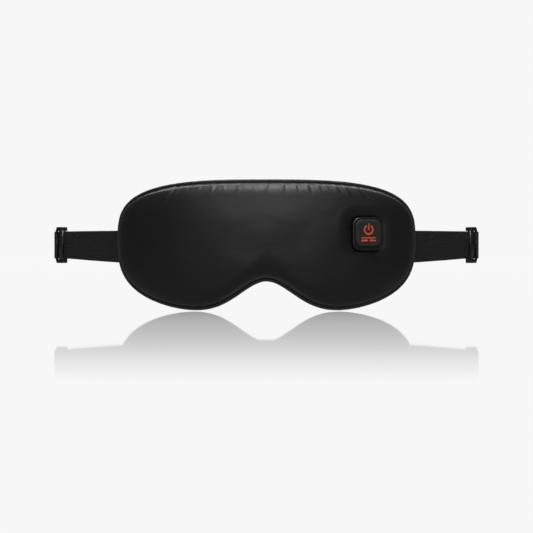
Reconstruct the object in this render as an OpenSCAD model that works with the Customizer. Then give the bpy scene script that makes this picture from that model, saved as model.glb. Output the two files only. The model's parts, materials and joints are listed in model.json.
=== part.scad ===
// Heated, vibrating eye mask on an adjustable elastic head strap.
// Millimetres. X runs across the face, +Y towards the wearer's head, +Z up.
// The origin is the middle of the rear lining, where the mask meets the bridge of the nose.

/* [Mask] */
// Width of the mask across the seam, straight across
mask_w = 220; // [205:1:250]
// Height of the seam line above the strap's middle
rise_h = 45.6; // [42:0.1:52]
// Height of the seam line below the strap's middle, before the nose gap is taken out
drop_h = 48.8; // [45:0.1:56]
// Height of the mask's widest level above the strap's middle
waist_z = 3; // [0:0.5:6]
// How far the nose gap rises into the lower edge
nose_rise = 24.6; // [18:0.1:27]
// Half width of the nose gap, where it has fallen to about a third of its height
nose_half_w = 29.2; // [23:0.1:32]
// Radius that the mask is curved to, round the face
face_r = 200; // [175:1:260]
// How far the front swells out from the seam at its middle
front_crown = 14; // [13:0.5:18]
// How far the back swells out from the seam at its middle
rear_crown = 8; // [7.5:0.5:11]
// Thickness of the cover and lining
skin_t = 0.8; // [0.6:0.1:1.2]
// Radius of the piping round the seam
piping_r = 1.3; // [1.0:0.1:1.8]

/* [Strap] */
// Width of the elastic
strap_w = 22; // [18:0.5:26]
// Thickness of the elastic
strap_t = 1; // [0.8:0.1:1.3]
// Angle at which the strap leaves the mask, behind the straight sideways line
strap_angle = 48; // [38:1:56]
// Length of strap from the edge of the mask to the middle of the slider
strap_reach = 88.5; // [65:0.5:100]
// How far behind the sliders the strap's back run lies
strap_behind = 26; // [20:1:60]
// How far the back run droops at its middle
strap_droop = 7.5; // [0:0.5:10]

/* [Slider] */
// Distance between neighbouring bars of the slider
bar_pitch = 3.9; // [3.6:0.1:5]
// Radius of the two end bars, in front of the elastic
end_bar_r = 1; // [0.8:0.05:1.2]
// Radius of the middle bar, which holds the sewn end of the elastic
mid_bar_r = 0.8; // [0.7:0.05:1.0]
// Height of the solid rail past each end of the slots
rail_h = 3.2; // [2:0.1:4]

/* [Control module] */
// Distance of the control module from the middle of the mask
control_x = 69.5; // [67:0.5:75]
// Height of the control module above the strap's middle
control_z = 8; // [4:0.5:10]
// Width of the bezel round the button
bezel_w = 24; // [23.6:0.1:26]
// Height of the bezel round the button
bezel_h = 24.3; // [23.6:0.1:26]
// Width of the button's face
button_w = 20.2; // [17:0.1:20.4]
// Height of the button's face
button_h = 19.8; // [17:0.1:20]
// How far the button travels when it is pressed
button_travel = 0.8; // [0.4:0.1:1.0]
// Width and height of the module's housing behind the cover
housing_w = 28; // [27.5:0.5:30]

/* [Motors and battery] */
// Distance of each vibration motor from the middle of the mask
motor_x = 38; // [35:0.5:40]
// Height of the motors above the strap's middle
motor_z = -1; // [-4:0.5:0]
// Radius of the motor's can
motor_r = 3.5; // [3:0.1:3.8]
// Length of the motor's can
motor_len = 15; // [12:0.5:16]
// Radius of the motor's shaft
shaft_r = 0.75; // [0.5:0.05:1]
// Width, height and thickness of the battery
battery_size = [40, 18, 5]; // [5:1:45]

/* [Hidden] */
$fn = 48;

// Outline and wrapping of the mask
half_w = mask_w / 2;
round_top = 3.4;          // exponent of the superellipse above the widest level
round_low = 2.9;          // exponent below it
nose_round = 1.95;        // exponent of the nose gap's curve
edge_t = 0.6;             // thickness of one cover where it is sewn into the seam
seam_y = -(rear_crown + edge_t);   // the seam's place behind the front, at the middle
centre_y = seam_y + face_r;        // axis of the cylinder that the mask is wrapped round
around = 72;              // points round the outline
rings = 7;                // rings from the middle to the edge

// Gaps between layers
fit_gap = 0.3;            // clearance of soft pieces round hard ones
close_gap = 0.1;          // clearance between two layers that lie on each other
wire_gap = 1.6;           // room for the leads between front padding and heater film
film_t = 0.3;
layer_gap = 0.45;         // clearance between soft layers that follow each other

// Slider, in its own frame: the strap's middle plane is at y = 0
loop_line_r = mid_bar_r + 0.1 + strap_t / 2;        // middle line of the loop sewn on the middle bar
end_bar_y = -(strap_t / 2 + fit_gap + end_bar_r);
mid_bar_y = strap_t + fit_gap + loop_line_r;
slot_half = strap_w / 2 + 0.3;
slider_half_h = slot_half + rail_h;
slider_half_l = bar_pitch + end_bar_r;
sewn_len = 9;                                       // sewn end, doubled back from the middle bar

// Keeper loops on the back of the mask
keeper_x = 0.9 * half_w;
keeper_w = 8;
keeper_t = 1.2;
keeper_foot = 3;
keeper_sink = 0.9;        // the feet reach down to the lining, which falls away towards the seam

// Control module, in its own frame: X outwards along the mask, Y into it, Z up
housing_front = -6.8;
housing_split = -5.6;
housing_back = -0.6;
bezel_front = -13.2;
bezel_step = -11.8;
button_front = -14.4;
button_lift = 0.7;        // the button sits this much above the middle of its bezel
skirt_t = 0.8;
board_front = -4;
board_t = 1;
wall_t = 1.2;
switch_front = -7.1;
plunger_front = -8;
screw_at = housing_w / 2 - 3.2;
port_w = 8.94;
port_h = 3.26;
port_mouth = 6;

// Motor pods, in their own frame
pod_half_l = 14;
pod_half_h = 7;
pod_mid = -(motor_r + 2);
pod_half_t = motor_r + 1.4;

// ---------- helpers ----------
// A point of the seam outline at an angle, in the flattened view from the front: [x, z]
function outline(a) =
    let (n = sin(a) >= 0 ? round_top : round_low,
         h = sin(a) >= 0 ? rise_h - waist_z : drop_h + waist_z,
         reach = pow(pow(abs(cos(a)) / half_w, n) + pow(abs(sin(a)) / h, n), -1 / n),
         x = reach * cos(a),
         z = waist_z + reach * sin(a),
         lift = sin(a) < 0 ? nose_rise * exp(-pow(abs(x) / nose_half_w, nose_round)) : 0)
    [x, z + lift];

// Swell of the pad: 1 at the middle and 0 at the seam
function swell(r) = sqrt(max(0, 1 - pow(r, 3)));

// The flattened point x, z and a depth in front of the seam, wrapped round the face
function wrap(x, z, d) =
    let (a = asin(x / face_r))
    [(face_r + d) * sin(a), centre_y - (face_r + d) * cos(a), z];

// One ring of points: share r of the outline, at depth d in front of the seam
function ring(r, d) =
    [for (j = [0 : around - 1]) let (p = outline(360 * j / around)) wrap(r * p.x, r * p.y, d)];

function ring_share(k) = sin(90 * k / rings);

// Faces of a body made of rings that follow each other, closed by a point at each end
function ring_faces(n_rings) = concat(
    [for (j = [0 : around - 1]) [0, 1 + j, 1 + (j + 1) % around]],
    [for (k = [0 : n_rings - 2], j = [0 : around - 1], half = [0, 1])
        let (a = 1 + k * around + j, b = 1 + k * around + (j + 1) % around)
        half == 0 ? [a, a + around, b + around] : [a, b + around, b]],
    [for (j = [0 : around - 1])
        let (base = 1 + (n_rings - 1) * around)
        [base + around, base + (j + 1) % around, base + j]]);

// A layer between a front and a rear depth, given as lists by ring, out to share r_max
module layer(front, rear, r_front, r_rear) {
    points = concat(
        [wrap(0, 0, front[0])],
        [for (k = [1 : rings]) each ring(r_front * ring_share(k), front[k])],
        [for (k = [rings : -1 : 1]) each ring(r_rear * ring_share(k), rear[k])],
        [wrap(0, 0, rear[0])]);
    polyhedron(points, ring_faces(2 * rings));
}

function swelled(crown, base = 0) = [for (k = [0 : rings]) base + crown * swell(ring_share(k))];
function level(d) = [for (k = [0 : rings]) d];

// Puts a piece on the mask at x, z: its X runs outwards, its Y into the mask, its Z up
module on_mask(x, z) {
    translate([0, centre_y, 0]) rotate([0, 0, asin(x / face_r)]) translate([0, -face_r, z]) children();
}

module both_sides() {
    children();
    mirror([1, 0, 0]) children();
}

module rounded_plate(w, h, r, y0, y1) {
    translate([0, y1, 0]) rotate([90, 0, 0]) linear_extrude(y1 - y0) {
        square([w - 2 * r, h], center = true);
        square([w, h - 2 * r], center = true);
        for (sx = [-1, 1], sz = [-1, 1]) translate([sx * (w / 2 - r), sz * (h / 2 - r)]) circle(r);
    }
}

// A round rod from depth y0 to y1
module rod(r, y0, y1) {
    translate([0, y1, 0]) rotate([90, 0, 0]) cylinder(r = r, h = y1 - y0);
}

// ---------- the strap's route, seen from above ----------
strap_dir = [cos(strap_angle), sin(strap_angle)];
front_dir = [sin(strap_angle), -cos(strap_angle)];
keeper_angle = asin(keeper_x / face_r);
keeper_depth = rear_crown * swell((keeper_x - keeper_w / 2 - 2) / half_w) + edge_t;
lane_front = keeper_depth + fit_gap + strap_t / 2;              // strap between lining and keeper
keeper_mid = lane_front + strap_t / 2 + close_gap + keeper_t / 2;
turn_r = keeper_mid - lane_front;
bend_r = 20;                                                    // strap's bend at the edge of the mask
back_bend_r = 10;                                               // strap's bend past the slider
back_r = 450;                                                   // strap's long back run

function on_plan(x, y) =                                        // from the keeper's frame to the plan
    [x * cos(keeper_angle) - (y - face_r) * sin(keeper_angle),
     centre_y + x * sin(keeper_angle) + (y - face_r) * cos(keeper_angle)];

turn_at = on_plan(-(keeper_w - keeper_t) / 2, keeper_mid);
bend_at = on_plan(6, lane_front + bend_r);
back_dir = -front_dir;
slider_at = bend_at + bend_r * front_dir + strap_reach * strap_dir;
mid_bar_at = slider_at + mid_bar_y * back_dir;
sewn_bend_r = 2;
sewn_at = slider_at - sewn_len * strap_dir + (2 * strap_t + fit_gap + 0.1 + sewn_bend_r) * back_dir;
back_bend_at = slider_at + (slider_half_l + 2) * strap_dir + back_bend_r * back_dir;
back_at = [0, slider_at.y + strap_behind - back_r];

// What the strap bends round, in order from its sewn end: [place, radius], the radius positive where the
// strap turns left
route = [[sewn_at, sewn_bend_r], [mid_bar_at, -loop_line_r], [bend_at, -(bend_r - 2 * turn_r)],
         [turn_at, turn_r], [bend_at, bend_r], [back_bend_at, back_bend_r], [back_at, back_r]];
keeper_turn = 3;                                    // the bend at which the strap folds over the keeper

function heading(a, b) =
    let (d = b[0] - a[0]) atan2(d.y, d.x) - asin((b[1] - a[1]) / norm(d));
function arc_step(r) = abs(r) < 5 ? 24 : abs(r) < 50 ? 9 : 1;
function heading_into(i) = i == 0 ? strap_angle : heading(route[i - 1], route[i]);
function heading_out(i) = i == len(route) - 1 ? 180 : heading(route[i], route[i + 1]);

// Points round one bend of the route, offset to the strap's left by off
function bend_points(i, off) =
    let (place = route[i][0], r = route[i][1], s = sign(r), from = heading_into(i),
         turn = s * (((s * (heading_out(i) - from)) % 360 + 360) % 360),
         n = max(1, ceil(abs(turn) / arc_step(r))))
    [for (k = [0 : n]) let (h = from + turn * k / n)
        place + abs(r - off) * [cos(h - s * 90), sin(h - s * 90)]];

function mirrored(line) = [for (i = [len(line) - 2 : -1 : 0]) [-line[i].x, line[i].y]];

// The strap's edge line from the fold at the keeper round to the middle of the back
function band_line(off) =
    let (last_inner = bend_points(keeper_turn - 1, off))
    concat([last_inner[len(last_inner) - 1]],
           [for (i = [keeper_turn : len(route) - 1]) each bend_points(i, off)]);

// The back run droops between the sliders
function droop(p) =
    p.y > slider_at.y ? -strap_droop * max(0, 1 - pow(p.x / slider_at.x, 2)) : 0;

// A flat strap on edge between two lines of points seen from above
module elastic(a, b) {
    n = len(a);
    points = [for (i = [0 : n - 1]) let (z = droop(b[i])) each [
        [a[i].x, a[i].y, z - strap_w / 2], [b[i].x, b[i].y, z - strap_w / 2],
        [b[i].x, b[i].y, z + strap_w / 2], [a[i].x, a[i].y, z + strap_w / 2]]];
    faces = concat(
        [[0, 1, 2, 3]],
        [for (i = [0 : n - 2], k = [0 : 3])
            let (p = 4 * i + k, q = 4 * i + (k + 1) % 4) [p, p + 4, q + 4, q]],
        [[4 * n - 1, 4 * n - 2, 4 * n - 3, 4 * n - 4]]);
    color("#1d1d1f") polyhedron(points, faces);
}

module head_strap() {
    left_edge = band_line(strap_t / 2);
    right_edge = band_line(-strap_t / 2);
    elastic(concat(left_edge, mirrored(left_edge)), concat(right_edge, mirrored(right_edge)));
}

// The strap's inner layer, from its sewn loop on the slider to just short of the keeper
module strap_end() {
    function line(off) = [for (i = [0 : keeper_turn - 1]) each bend_points(i, off)];
    full = [line(strap_t / 2), line(-strap_t / 2)];
    short = [for (edge = full)
        let (n = len(edge), back = edge[n - 2] - edge[n - 1])
        [for (i = [0 : n - 1]) i < n - 1 ? edge[i] : edge[i] + fit_gap * back / norm(back)]];
    elastic(short[0], short[1]);
}

module strap_keeper() {
    z_half = strap_w / 2 + 0.8;
    color("#1a1a1c") on_mask(keeper_x, 0) {
        for (s = [-1, 1]) translate([s * (keeper_w - keeper_t) / 2, keeper_mid, 0])
            cylinder(r = keeper_t / 2, h = 2 * z_half + 2 * keeper_foot, center = true);
        translate([-(keeper_w - keeper_t) / 2, keeper_mid - keeper_t / 2, -z_half - keeper_foot])
            cube([keeper_w - keeper_t, keeper_t, 2 * (z_half + keeper_foot)]);
        for (s = [-1, 1]) translate([-(keeper_w - keeper_t) / 2, keeper_depth - keeper_sink,
                                     s > 0 ? z_half : -z_half - keeper_foot])
            cube([keeper_w - keeper_t, keeper_mid - keeper_depth + keeper_sink, keeper_foot]);
    }
}

// Section of the slider's broad bar on the mask side, its edges chamfered
bar_chamfer = 0.45;
module flat_bar() {
    near = -slider_half_l;
    far = -0.2;
    front = end_bar_y - end_bar_r;
    back = end_bar_y + end_bar_r;
    polygon([[near, front + bar_chamfer], [near + bar_chamfer, front], [far - bar_chamfer, front],
             [far, front + bar_chamfer], [far, back - bar_chamfer], [far - bar_chamfer, back],
             [near + bar_chamfer, back], [near, back - bar_chamfer]]);
}

// A three-bar slider: X along the strap, Y into the loop, Z up
module slider_frame() {
    translate([bar_pitch, end_bar_y, 0])
        cylinder(r = end_bar_r, h = 2 * slot_half + rail_h, center = true);
    translate([0, 0, -slot_half - rail_h / 2]) linear_extrude(2 * slot_half + rail_h) flat_bar();
    translate([0, mid_bar_y, 0]) cylinder(r = mid_bar_r, h = 2 * slot_half + rail_h, center = true);
    for (s = [-1, 1]) mirror([0, 0, s < 0 ? 1 : 0]) intersection() {
        translate([0, 10, 0]) rotate([90, 0, 0]) linear_extrude(20) polygon([
            [-slider_half_l, slot_half], [slider_half_l, slot_half],
            [slider_half_l, slot_half + 0.5], [slider_half_l - 1.7, slider_half_h],
            [-slider_half_l + 1.7, slider_half_h], [-slider_half_l, slot_half + 0.5]]);
        linear_extrude(slider_half_h) {
            translate([bar_pitch, end_bar_y]) circle(end_bar_r);
            flat_bar();
            translate([0, mid_bar_y]) circle(mid_bar_r + 0.3);
            polygon([[-bar_pitch, end_bar_y - end_bar_r], [bar_pitch, end_bar_y - end_bar_r],
                     [slider_half_l, end_bar_y], [mid_bar_r + 0.3, mid_bar_y],
                     [-mid_bar_r - 0.3, mid_bar_y], [-slider_half_l, end_bar_y + end_bar_r - bar_chamfer]]);
        }
    }
}

module slider() {
    color("#242426") translate([slider_at.x, slider_at.y, 0]) rotate([0, 0, strap_angle]) slider_frame();
}

// ---------- soft layers of the mask ----------
rim_share = 1 - skin_t / 45;       // the inside of a cover stops this share of the way out
pad_share = rim_share - 0.009;
rear_pad_share = 0.9;
blunt_edge = 0.3;

// Depth of a pad's outer face by ring, kept clear of the inside of a skin with the given crown
function under_skin(crown, share, least) =
    [for (k = [0 : rings])
        max(least + blunt_edge, (crown + edge_t - skin_t) * swell(share * ring_share(k) / rim_share) - layer_gap)];

module module_hole(grow, y0, y1) {
    on_mask(control_x, control_z)
        rounded_plate(bezel_w + 2 * grow, bezel_h + 2 * grow, 6 + grow, y0, y1);
}

module port_hole(w, h, y0, y1) {
    on_mask(control_x, control_z) rounded_plate(w, h, h / 2 - 0.05, y0, y1);
}

module front_cover() {
    color("#19191a") difference() {
        layer(swelled(front_crown, edge_t), swelled(front_crown + edge_t - skin_t), 1, rim_share);
        module_hole(0.2, -30, -2);
    }
}

module pod_pocket() {
    on_mask(motor_x, motor_z)
        translate([-pod_half_l - fit_gap, pod_mid - pod_half_t - fit_gap, -pod_half_h - fit_gap])
            cube([2 * (pod_half_l + fit_gap), pod_half_t - pod_mid + 4, 2 * (pod_half_h + fit_gap)]);
}

module front_padding() {
    battery = [battery_size.x + 2 * fit_gap, battery_size.z + 7, battery_size.y + 2 * fit_gap];
    pad_front = 0.45;
    color("#3a3a3d") difference() {
        layer(under_skin(front_crown, rim_share, pad_front), level(pad_front), pad_share, pad_share);
        both_sides() pod_pocket();
        on_mask(0, battery_z) translate([-battery.x / 2, battery_front - fit_gap, -battery.z / 2])
            cube(battery);
        module_hole(0.4, -30, 2);
        on_mask(control_x, control_z)
            rounded_plate(housing_w + 2 * fit_gap, housing_w + 2 * fit_gap, 5 + fit_gap,
                          housing_front - fit_gap, 3);
    }
}

module rear_padding() {
    back = wire_gap + film_t + layer_gap;
    color("#46464a") difference() {
        layer(level(-back),
              [for (d = under_skin(rear_crown, rear_pad_share, back)) -d],
              rear_pad_share, rear_pad_share);
        port_hole(socket_boss_w + 2 * fit_gap, socket_boss_h + 2 * fit_gap, -1, 20);
        port_hole(grommet_w + 2 * fit_gap, grommet_h + 2 * fit_gap, 3.6, 20);
    }
}

module rear_lining() {
    color("#202022") difference() {
        layer([for (d = swelled(rear_crown + edge_t - skin_t)) -d],
              [for (d = swelled(rear_crown, edge_t)) -d], rim_share, 1);
        port_hole(grommet_w + 0.2, grommet_h + 0.2, 3, 20);
    }
}

module edge_piping() {
    sides = 8;
    line = [for (j = [0 : around - 1]) outline(360 * j / around)];
    out = [for (j = [0 : around - 1])
        let (t = line[(j + 1) % around] - line[(j + around - 1) % around]) [t.y, -t.x] / norm(t)];
    points = [for (j = [0 : around - 1], i = [0 : sides - 1])
        let (a = 360 * i / sides, reach = piping_r * (1.02 + cos(a)))
        wrap(line[j].x + reach * out[j].x, line[j].y + reach * out[j].y, piping_r * sin(a))];
    faces = [for (j = [0 : around - 1], i = [0 : sides - 1])
        let (p = sides * j + i, q = sides * j + (i + 1) % sides, next = sides * ((j + 1) % around))
        [p, q, next + (i + 1) % sides, next + i]];
    color("#111112") polyhedron(points, faces);
}

// ---------- heater ----------
module heater_film() {
    eye_w = 66;
    eye_h = 46;
    color("#a5602c") intersection() {
        difference() {
            translate([0, centre_y, -60]) cylinder(r = face_r - wire_gap, h = 120);
            translate([0, centre_y, -60]) cylinder(r = face_r - wire_gap - film_t, h = 120);
        }
        translate([0, 40, 0]) rotate([90, 0, 0]) linear_extrude(90) {
            for (s = [-1, 1]) translate([s * 46, 0]) {
                square([eye_w - eye_h, eye_h], center = true);
                for (t = [-1, 1]) translate([t * (eye_w - eye_h) / 2, 0]) circle(eye_h / 2);
            }
            translate([0, 10]) square([60, 12], center = true);
        }
        difference() {
            translate([-half_w, -60, -rise_h]) cube([2 * half_w, 120, 2 * rise_h]);
            port_hole(socket_boss_w + 4 * fit_gap, socket_boss_h + 4 * fit_gap, -10, 20);
        }
    }
}

module temperature_sensor() {
    color("#d8c9a0") on_mask(20, -8) translate([-1.5, wire_gap - 1.1, -0.8]) cube([3, 1.05, 1.6]);
}

// ---------- vibration motor ----------
shaft_from = 2;
shaft_to = 12;
can_from = -9.5;
can_to = can_from + motor_len;
lead_x = can_from - 0.7;

module motor_rod(r, x0, x1) {
    translate([x0, pod_mid, 0]) rotate([0, 90, 0]) cylinder(r = r, h = x1 - x0);
}

module pod_half(y0, y1) {
    difference() {
        translate([-pod_half_l, y0, -pod_half_h]) cube([2 * pod_half_l, y1 - y0, 2 * pod_half_h]);
        motor_rod(motor_r + close_gap, can_from - 2.6, can_to + 0.2);
        motor_rod(motor_r + 0.3, can_to + 0.2, shaft_to + 0.6);
    }
}

module dowels(r, y0, y1) {
    for (sx = [-1, 1], sz = [-1, 1]) translate([sx * (pod_half_l - 1.6), 0, sz * (pod_half_h - 1.4)])
        rod(r, y0, y1);
}

module motor_pod_base() {
    color("#2c2c30") on_mask(motor_x, motor_z) {
        difference() {
            pod_half(pod_mid, pod_mid + pod_half_t);
            translate([lead_x, 0, 0]) rod(lead_r + 0.7, pod_mid, 1);
        }
        dowels(0.7, pod_mid - 2, pod_mid + 1);
    }
}

module motor_pod_cap() {
    color("#303034") on_mask(motor_x, motor_z) difference() {
        pod_half(pod_mid - pod_half_t, pod_mid);
        dowels(0.75, pod_mid - 2.4, pod_mid + 1);
    }
}

module motor_can() {
    color("#b9bcc0") on_mask(motor_x, motor_z) difference() {
        motor_rod(motor_r, can_from, can_to);
        motor_rod(shaft_r + 0.05, shaft_from - 0.5, can_to + 1);
    }
}

module motor_end_cap() {
    color("#e8e6df") on_mask(motor_x, motor_z) motor_rod(motor_r - 0.3, can_from - 1.4, can_from);
}

module motor_shaft() {
    color("#d5d7da") on_mask(motor_x, motor_z) motor_rod(shaft_r, shaft_from, shaft_to);
}

module eccentric_weight() {
    r = motor_r - 0.3;
    color("#8d8f94") on_mask(motor_x, motor_z) difference() {
        union() {
            intersection() {
                motor_rod(r, can_to + 0.8, shaft_to - 0.3);
                translate([0, pod_mid - r, -r]) cube([20, 2 * r, r]);
            }
            motor_rod(shaft_r + 0.7, can_to + 0.8, shaft_to - 0.3);
        }
        motor_rod(shaft_r, can_to, shaft_to + 1);
    }
}

// ---------- control module ----------
opening_w = button_w + 0.4;
opening_h = button_h + 0.4;
skirt_w = opening_w + 1.2;
skirt_h = opening_h + 1;
socket_boss_w = 12.4;
socket_boss_h = 6.6;
grommet_w = 16;
grommet_h = 10;

module at_button() {
    on_mask(control_x, control_z) translate([0, 0, button_lift]) children();
}

module screw_places() {
    for (sx = [-1, 1], sz = [-1, 1]) translate([sx * screw_at, 0, sz * screw_at]) children();
}

module control_bezel() {
    color("#1c1c1e") difference() {
        on_mask(control_x, control_z) union() {
            rounded_plate(bezel_w, bezel_h, 6, bezel_front, housing_front + 0.6);
            rounded_plate(housing_w, housing_w, 5, housing_front, housing_split);
        }
        at_button() rounded_plate(opening_w, opening_h, 5, bezel_front - 1, housing_split + 1);
        at_button() rounded_plate(skirt_w + 0.3, skirt_h + 0.3, 5, bezel_step, housing_split + 1);
        on_mask(control_x, control_z) screw_places() rod(0.8, housing_front + 0.3, housing_split + 1);
    }
}

module control_base() {
    color("#2a2a2d") on_mask(control_x, control_z) difference() {
        union() {
            rounded_plate(housing_w, housing_w, 5, housing_split, housing_back);
            rounded_plate(socket_boss_w, socket_boss_h, 3, housing_back - 1, port_mouth - 0.6);
        }
        difference() {
            rounded_plate(housing_w - 2 * wall_t, housing_w - 2 * wall_t, 5 - wall_t,
                          housing_split - 1, housing_back - wall_t);
            screw_places() rod(2, housing_split - 1, housing_back + 1);
        }
        rounded_plate(port_w + 0.4, port_h + 0.4, port_h / 2, housing_back - 3, port_mouth + 1);
        screw_places() rod(1, housing_split - 1, housing_back + 1);
        screw_places() rod(1.7, housing_back - 1.3, housing_back + 1);
        for (z = lead_exits) translate([lead_hole_x, 0, z])
            rod(lead_r + 0.35, housing_back - 3, housing_back + 1);
    }
}

module housing_screws() {
    color("#8f9196") on_mask(control_x, control_z) screw_places() union() {
        rod(0.8, housing_front + 0.5, housing_back - 1.2);
        rod(1.6, housing_back - 1.3, housing_back - 0.2);
    }
}

module circuit_board() {
    size = housing_w - 2 * wall_t - 2 * fit_gap;
    color("#1f5c3a") on_mask(control_x, control_z) difference() {
        rounded_plate(size, size, 3, board_front, board_front + board_t);
        screw_places() rod(2.3, board_front - 1, board_front + board_t + 1);
    }
}

module controller_chip() {
    color("#151517") on_mask(control_x, control_z) translate([-8.5, board_front - 0.9, -9]) cube([5, 0.9, 5]);
}

module indicator_leds() {
    color("#f4efe0") on_mask(control_x, control_z)
        for (x = [-5.5, 5.5]) translate([x - 0.8, board_front - 0.7, 3.4]) cube([1.6, 0.7, 0.8]);
}

module tact_switch() {
    color("#c9cace") at_button() difference() {
        translate([-3, switch_front, -3]) cube([6, board_front - switch_front, 6]);
        rod(1.75, switch_front - 1, board_front - 0.5);
    }
}

module switch_plunger() {
    color("#0f0f10") at_button() rod(1.7, plunger_front, board_front - 0.5 - button_travel - 0.2);
}

icon_depth = 0.4;
icon_r = 3.9;
icon_stroke = 1.3;
icon_z = 2.4;
bar_w = 1.1;
top_mark_h = 1.05;
low_mark_h = 1.4;
marks_top = -4.1;
marks_low = -6.25;

module icon_shape(y0, y1) {
    difference() {
        rod(icon_r, y0, y1);
        rod(icon_r - icon_stroke, y0 - 1, y1 + 1);
        for (s = [-1, 1]) rotate([0, s * 14, 0]) translate([-1.45, y0 - 1, 0]) cube([2.9, y1 - y0 + 2, 9]);
    }
    translate([-bar_w / 2, y0, -0.1]) cube([bar_w, y1 - y0, 4.7]);
}

module marks_shape(y0, y1) {
    for (i = [-3 : 3]) translate([i * 1.6 - 0.65, y0, marks_top]) cube([1.3, y1 - y0, top_mark_h]);
    for (s = [-1, 1], i = [0 : 2]) translate([s * (1.4 + i * 1.7) - 0.75, y0, marks_low])
        cube([1.5, y1 - y0, low_mark_h]);
}

module button_cap() {
    color("#1a1a1b") at_button() {
        difference() {
            union() {
                rounded_plate(button_w, button_h, 4.8, button_front, bezel_step + 0.05 + skirt_t);
                rounded_plate(skirt_w, skirt_h, 4.8, bezel_step + 0.05, bezel_step + 0.05 + skirt_t);
            }
            rounded_plate(button_w - 3, button_h - 3, 3.4, button_front + 1.8, bezel_step + 4);
            translate([0, 0, icon_z]) icon_shape(button_front - 1, button_front + icon_depth);
            marks_shape(button_front - 1, button_front + icon_depth);
        }
        rod(1.2, button_front + 1, plunger_front);
    }
}

module power_icon() {
    color("#e2452a") at_button() translate([0, 0, icon_z])
        icon_shape(button_front - 0.05, button_front + icon_depth);
}

module level_marks() {
    color("#e2452a") at_button() marks_shape(button_front - 0.05, button_front + icon_depth);
}

module charge_socket_shell() {
    color("#c3c6ca") on_mask(control_x, control_z) difference() {
        rounded_plate(port_w, port_h, port_h / 2 - 0.05, board_front + board_t, port_mouth);
        rounded_plate(port_w - 0.6, port_h - 0.6, port_h / 2 - 0.4,
                      board_front + board_t + 0.8, port_mouth + 1);
    }
}

module charge_socket_tongue() {
    color("#101012") on_mask(control_x, control_z)
        translate([-3.3, board_front + board_t + 0.8, -0.35])
            cube([6.6, port_mouth - board_front - board_t - 1.8, 0.7]);
}

module port_grommet() {
    color("#161617") on_mask(control_x, control_z) difference() {
        rounded_plate(grommet_w, grommet_h, grommet_h / 2 - 0.1, 4, 7.4);
        rounded_plate(socket_boss_w + 0.2, socket_boss_h + 0.2, 3.1, 3, port_mouth - 0.5);
        rounded_plate(port_w + 0.8, port_h + 0.8, port_h / 2 + 0.2, 3, 9);
    }
}

// ---------- battery and leads ----------
battery_z = 16;
battery_front = -(battery_size.z + 1);
lead_r = 0.5;
lead_exits = [-8, -5, 5, 8];

module battery_pack() {
    color("#9fa4ab") on_mask(0, battery_z)
        translate([-battery_size.x / 2, battery_front, -battery_size.y / 2])
            cube([battery_size.x, battery_size.z, battery_size.y]);
}

// Catmull-Rom curve through hand-chosen points
function blend3(p, i, t) =
    let (a = p[max(0, i - 1)], b = p[i], c = p[i + 1], d = p[min(len(p) - 1, i + 2)])
    0.5 * (2 * b + (c - a) * t + (2 * a - 5 * b + 4 * c - d) * t * t + (3 * b - a - 3 * c + d) * t * t * t);

// A lead along points of the mask: [x, z, depth in front of the seam]
module lead(stops) {
    sides = 8;
    steps = 4;
    smooth = concat([for (i = [0 : len(stops) - 2], k = [0 : steps - 1]) blend3(stops, i, k / steps)],
                    [stops[len(stops) - 1]]);
    line = [for (p = smooth) wrap(p[0], p[1], p[2])];
    n = len(line);
    points = [for (i = [0 : n - 1])
        let (t = line[min(n - 1, i + 1)] - line[max(0, i - 1)], w = t / norm(t),
             u = cross(w, [0.37, 0.11, 0.92]), v = u / norm(u), q = cross(w, v))
        each [for (k = [0 : sides - 1])
            line[i] + lead_r * (cos(360 * k / sides) * v + sin(360 * k / sides) * q)]];
    faces = concat(
        [[for (k = [0 : sides - 1]) k]],
        [for (i = [0 : n - 2], k = [0 : sides - 1])
            let (p = sides * i + k, q = sides * i + (k + 1) % sides) [p, p + sides, q + sides, q]],
        [[for (k = [sides - 1 : -1 : 0]) sides * (n - 1) + k]]);
    color("#b3261e") polyhedron(points, faces);
}

lane = -wire_gap / 2;
pod_exit = from_piece(motor_x, motor_z, [lead_x, pod_mid + motor_r - 0.25, 0]);
pod_mouth = from_piece(motor_x, motor_z, [lead_x, pod_mid + pod_half_t - 0.6, 0]);
lead_hole_x = -housing_w / 2 + 3;
housing_x = from_piece(control_x, 0, [lead_hole_x, 0, 0])[0];

// A point given in the frame of a piece put on the mask at x, z: [x, z, depth] as the leads use it
function from_piece(x, z, p) =
    let (a = asin(x / face_r) + atan2(p.x, face_r - p.y), r = norm([p.x, face_r - p.y]))
    [face_r * sin(a), z + p.z, r - face_r];

function into_housing(z) = [[housing_x - 4, control_z + z, lane], [housing_x - 1.4, control_z + z, lane],
                            from_piece(control_x, control_z, [lead_hole_x, -0.3, z]),
                            from_piece(control_x, control_z, [lead_hole_x, -2.4, z])];

function flipped(p) = [-p[0], p[1], p[2]];

module right_motor_lead() {
    lead(concat([pod_exit, pod_mouth, [pod_exit.x + 0.8, pod_exit.y + 1.5, lane], [motor_x, 8, lane],
                 [49, 5, lane]], into_housing(lead_exits[1])));
}

module left_motor_lead() {
    lead(concat([flipped(pod_exit), flipped(pod_mouth), [0.8 - pod_exit.x, pod_exit.y + 1.5, lane],
                 [-20, 3, lane], [0, 0, lane], [20, 6, lane], [38, 12, lane]], into_housing(lead_exits[2])));
}

module battery_lead() {
    lead(concat([[battery_size.x / 2 - 1, battery_z + 4, lane], [28, 21, lane], [42, 18, lane]],
                into_housing(lead_exits[3])));
}

module heater_lead() {
    lead(concat([[43, -14, lane], [47, -10, lane], [50, -6, lane]], into_housing(lead_exits[0])));
}

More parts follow.
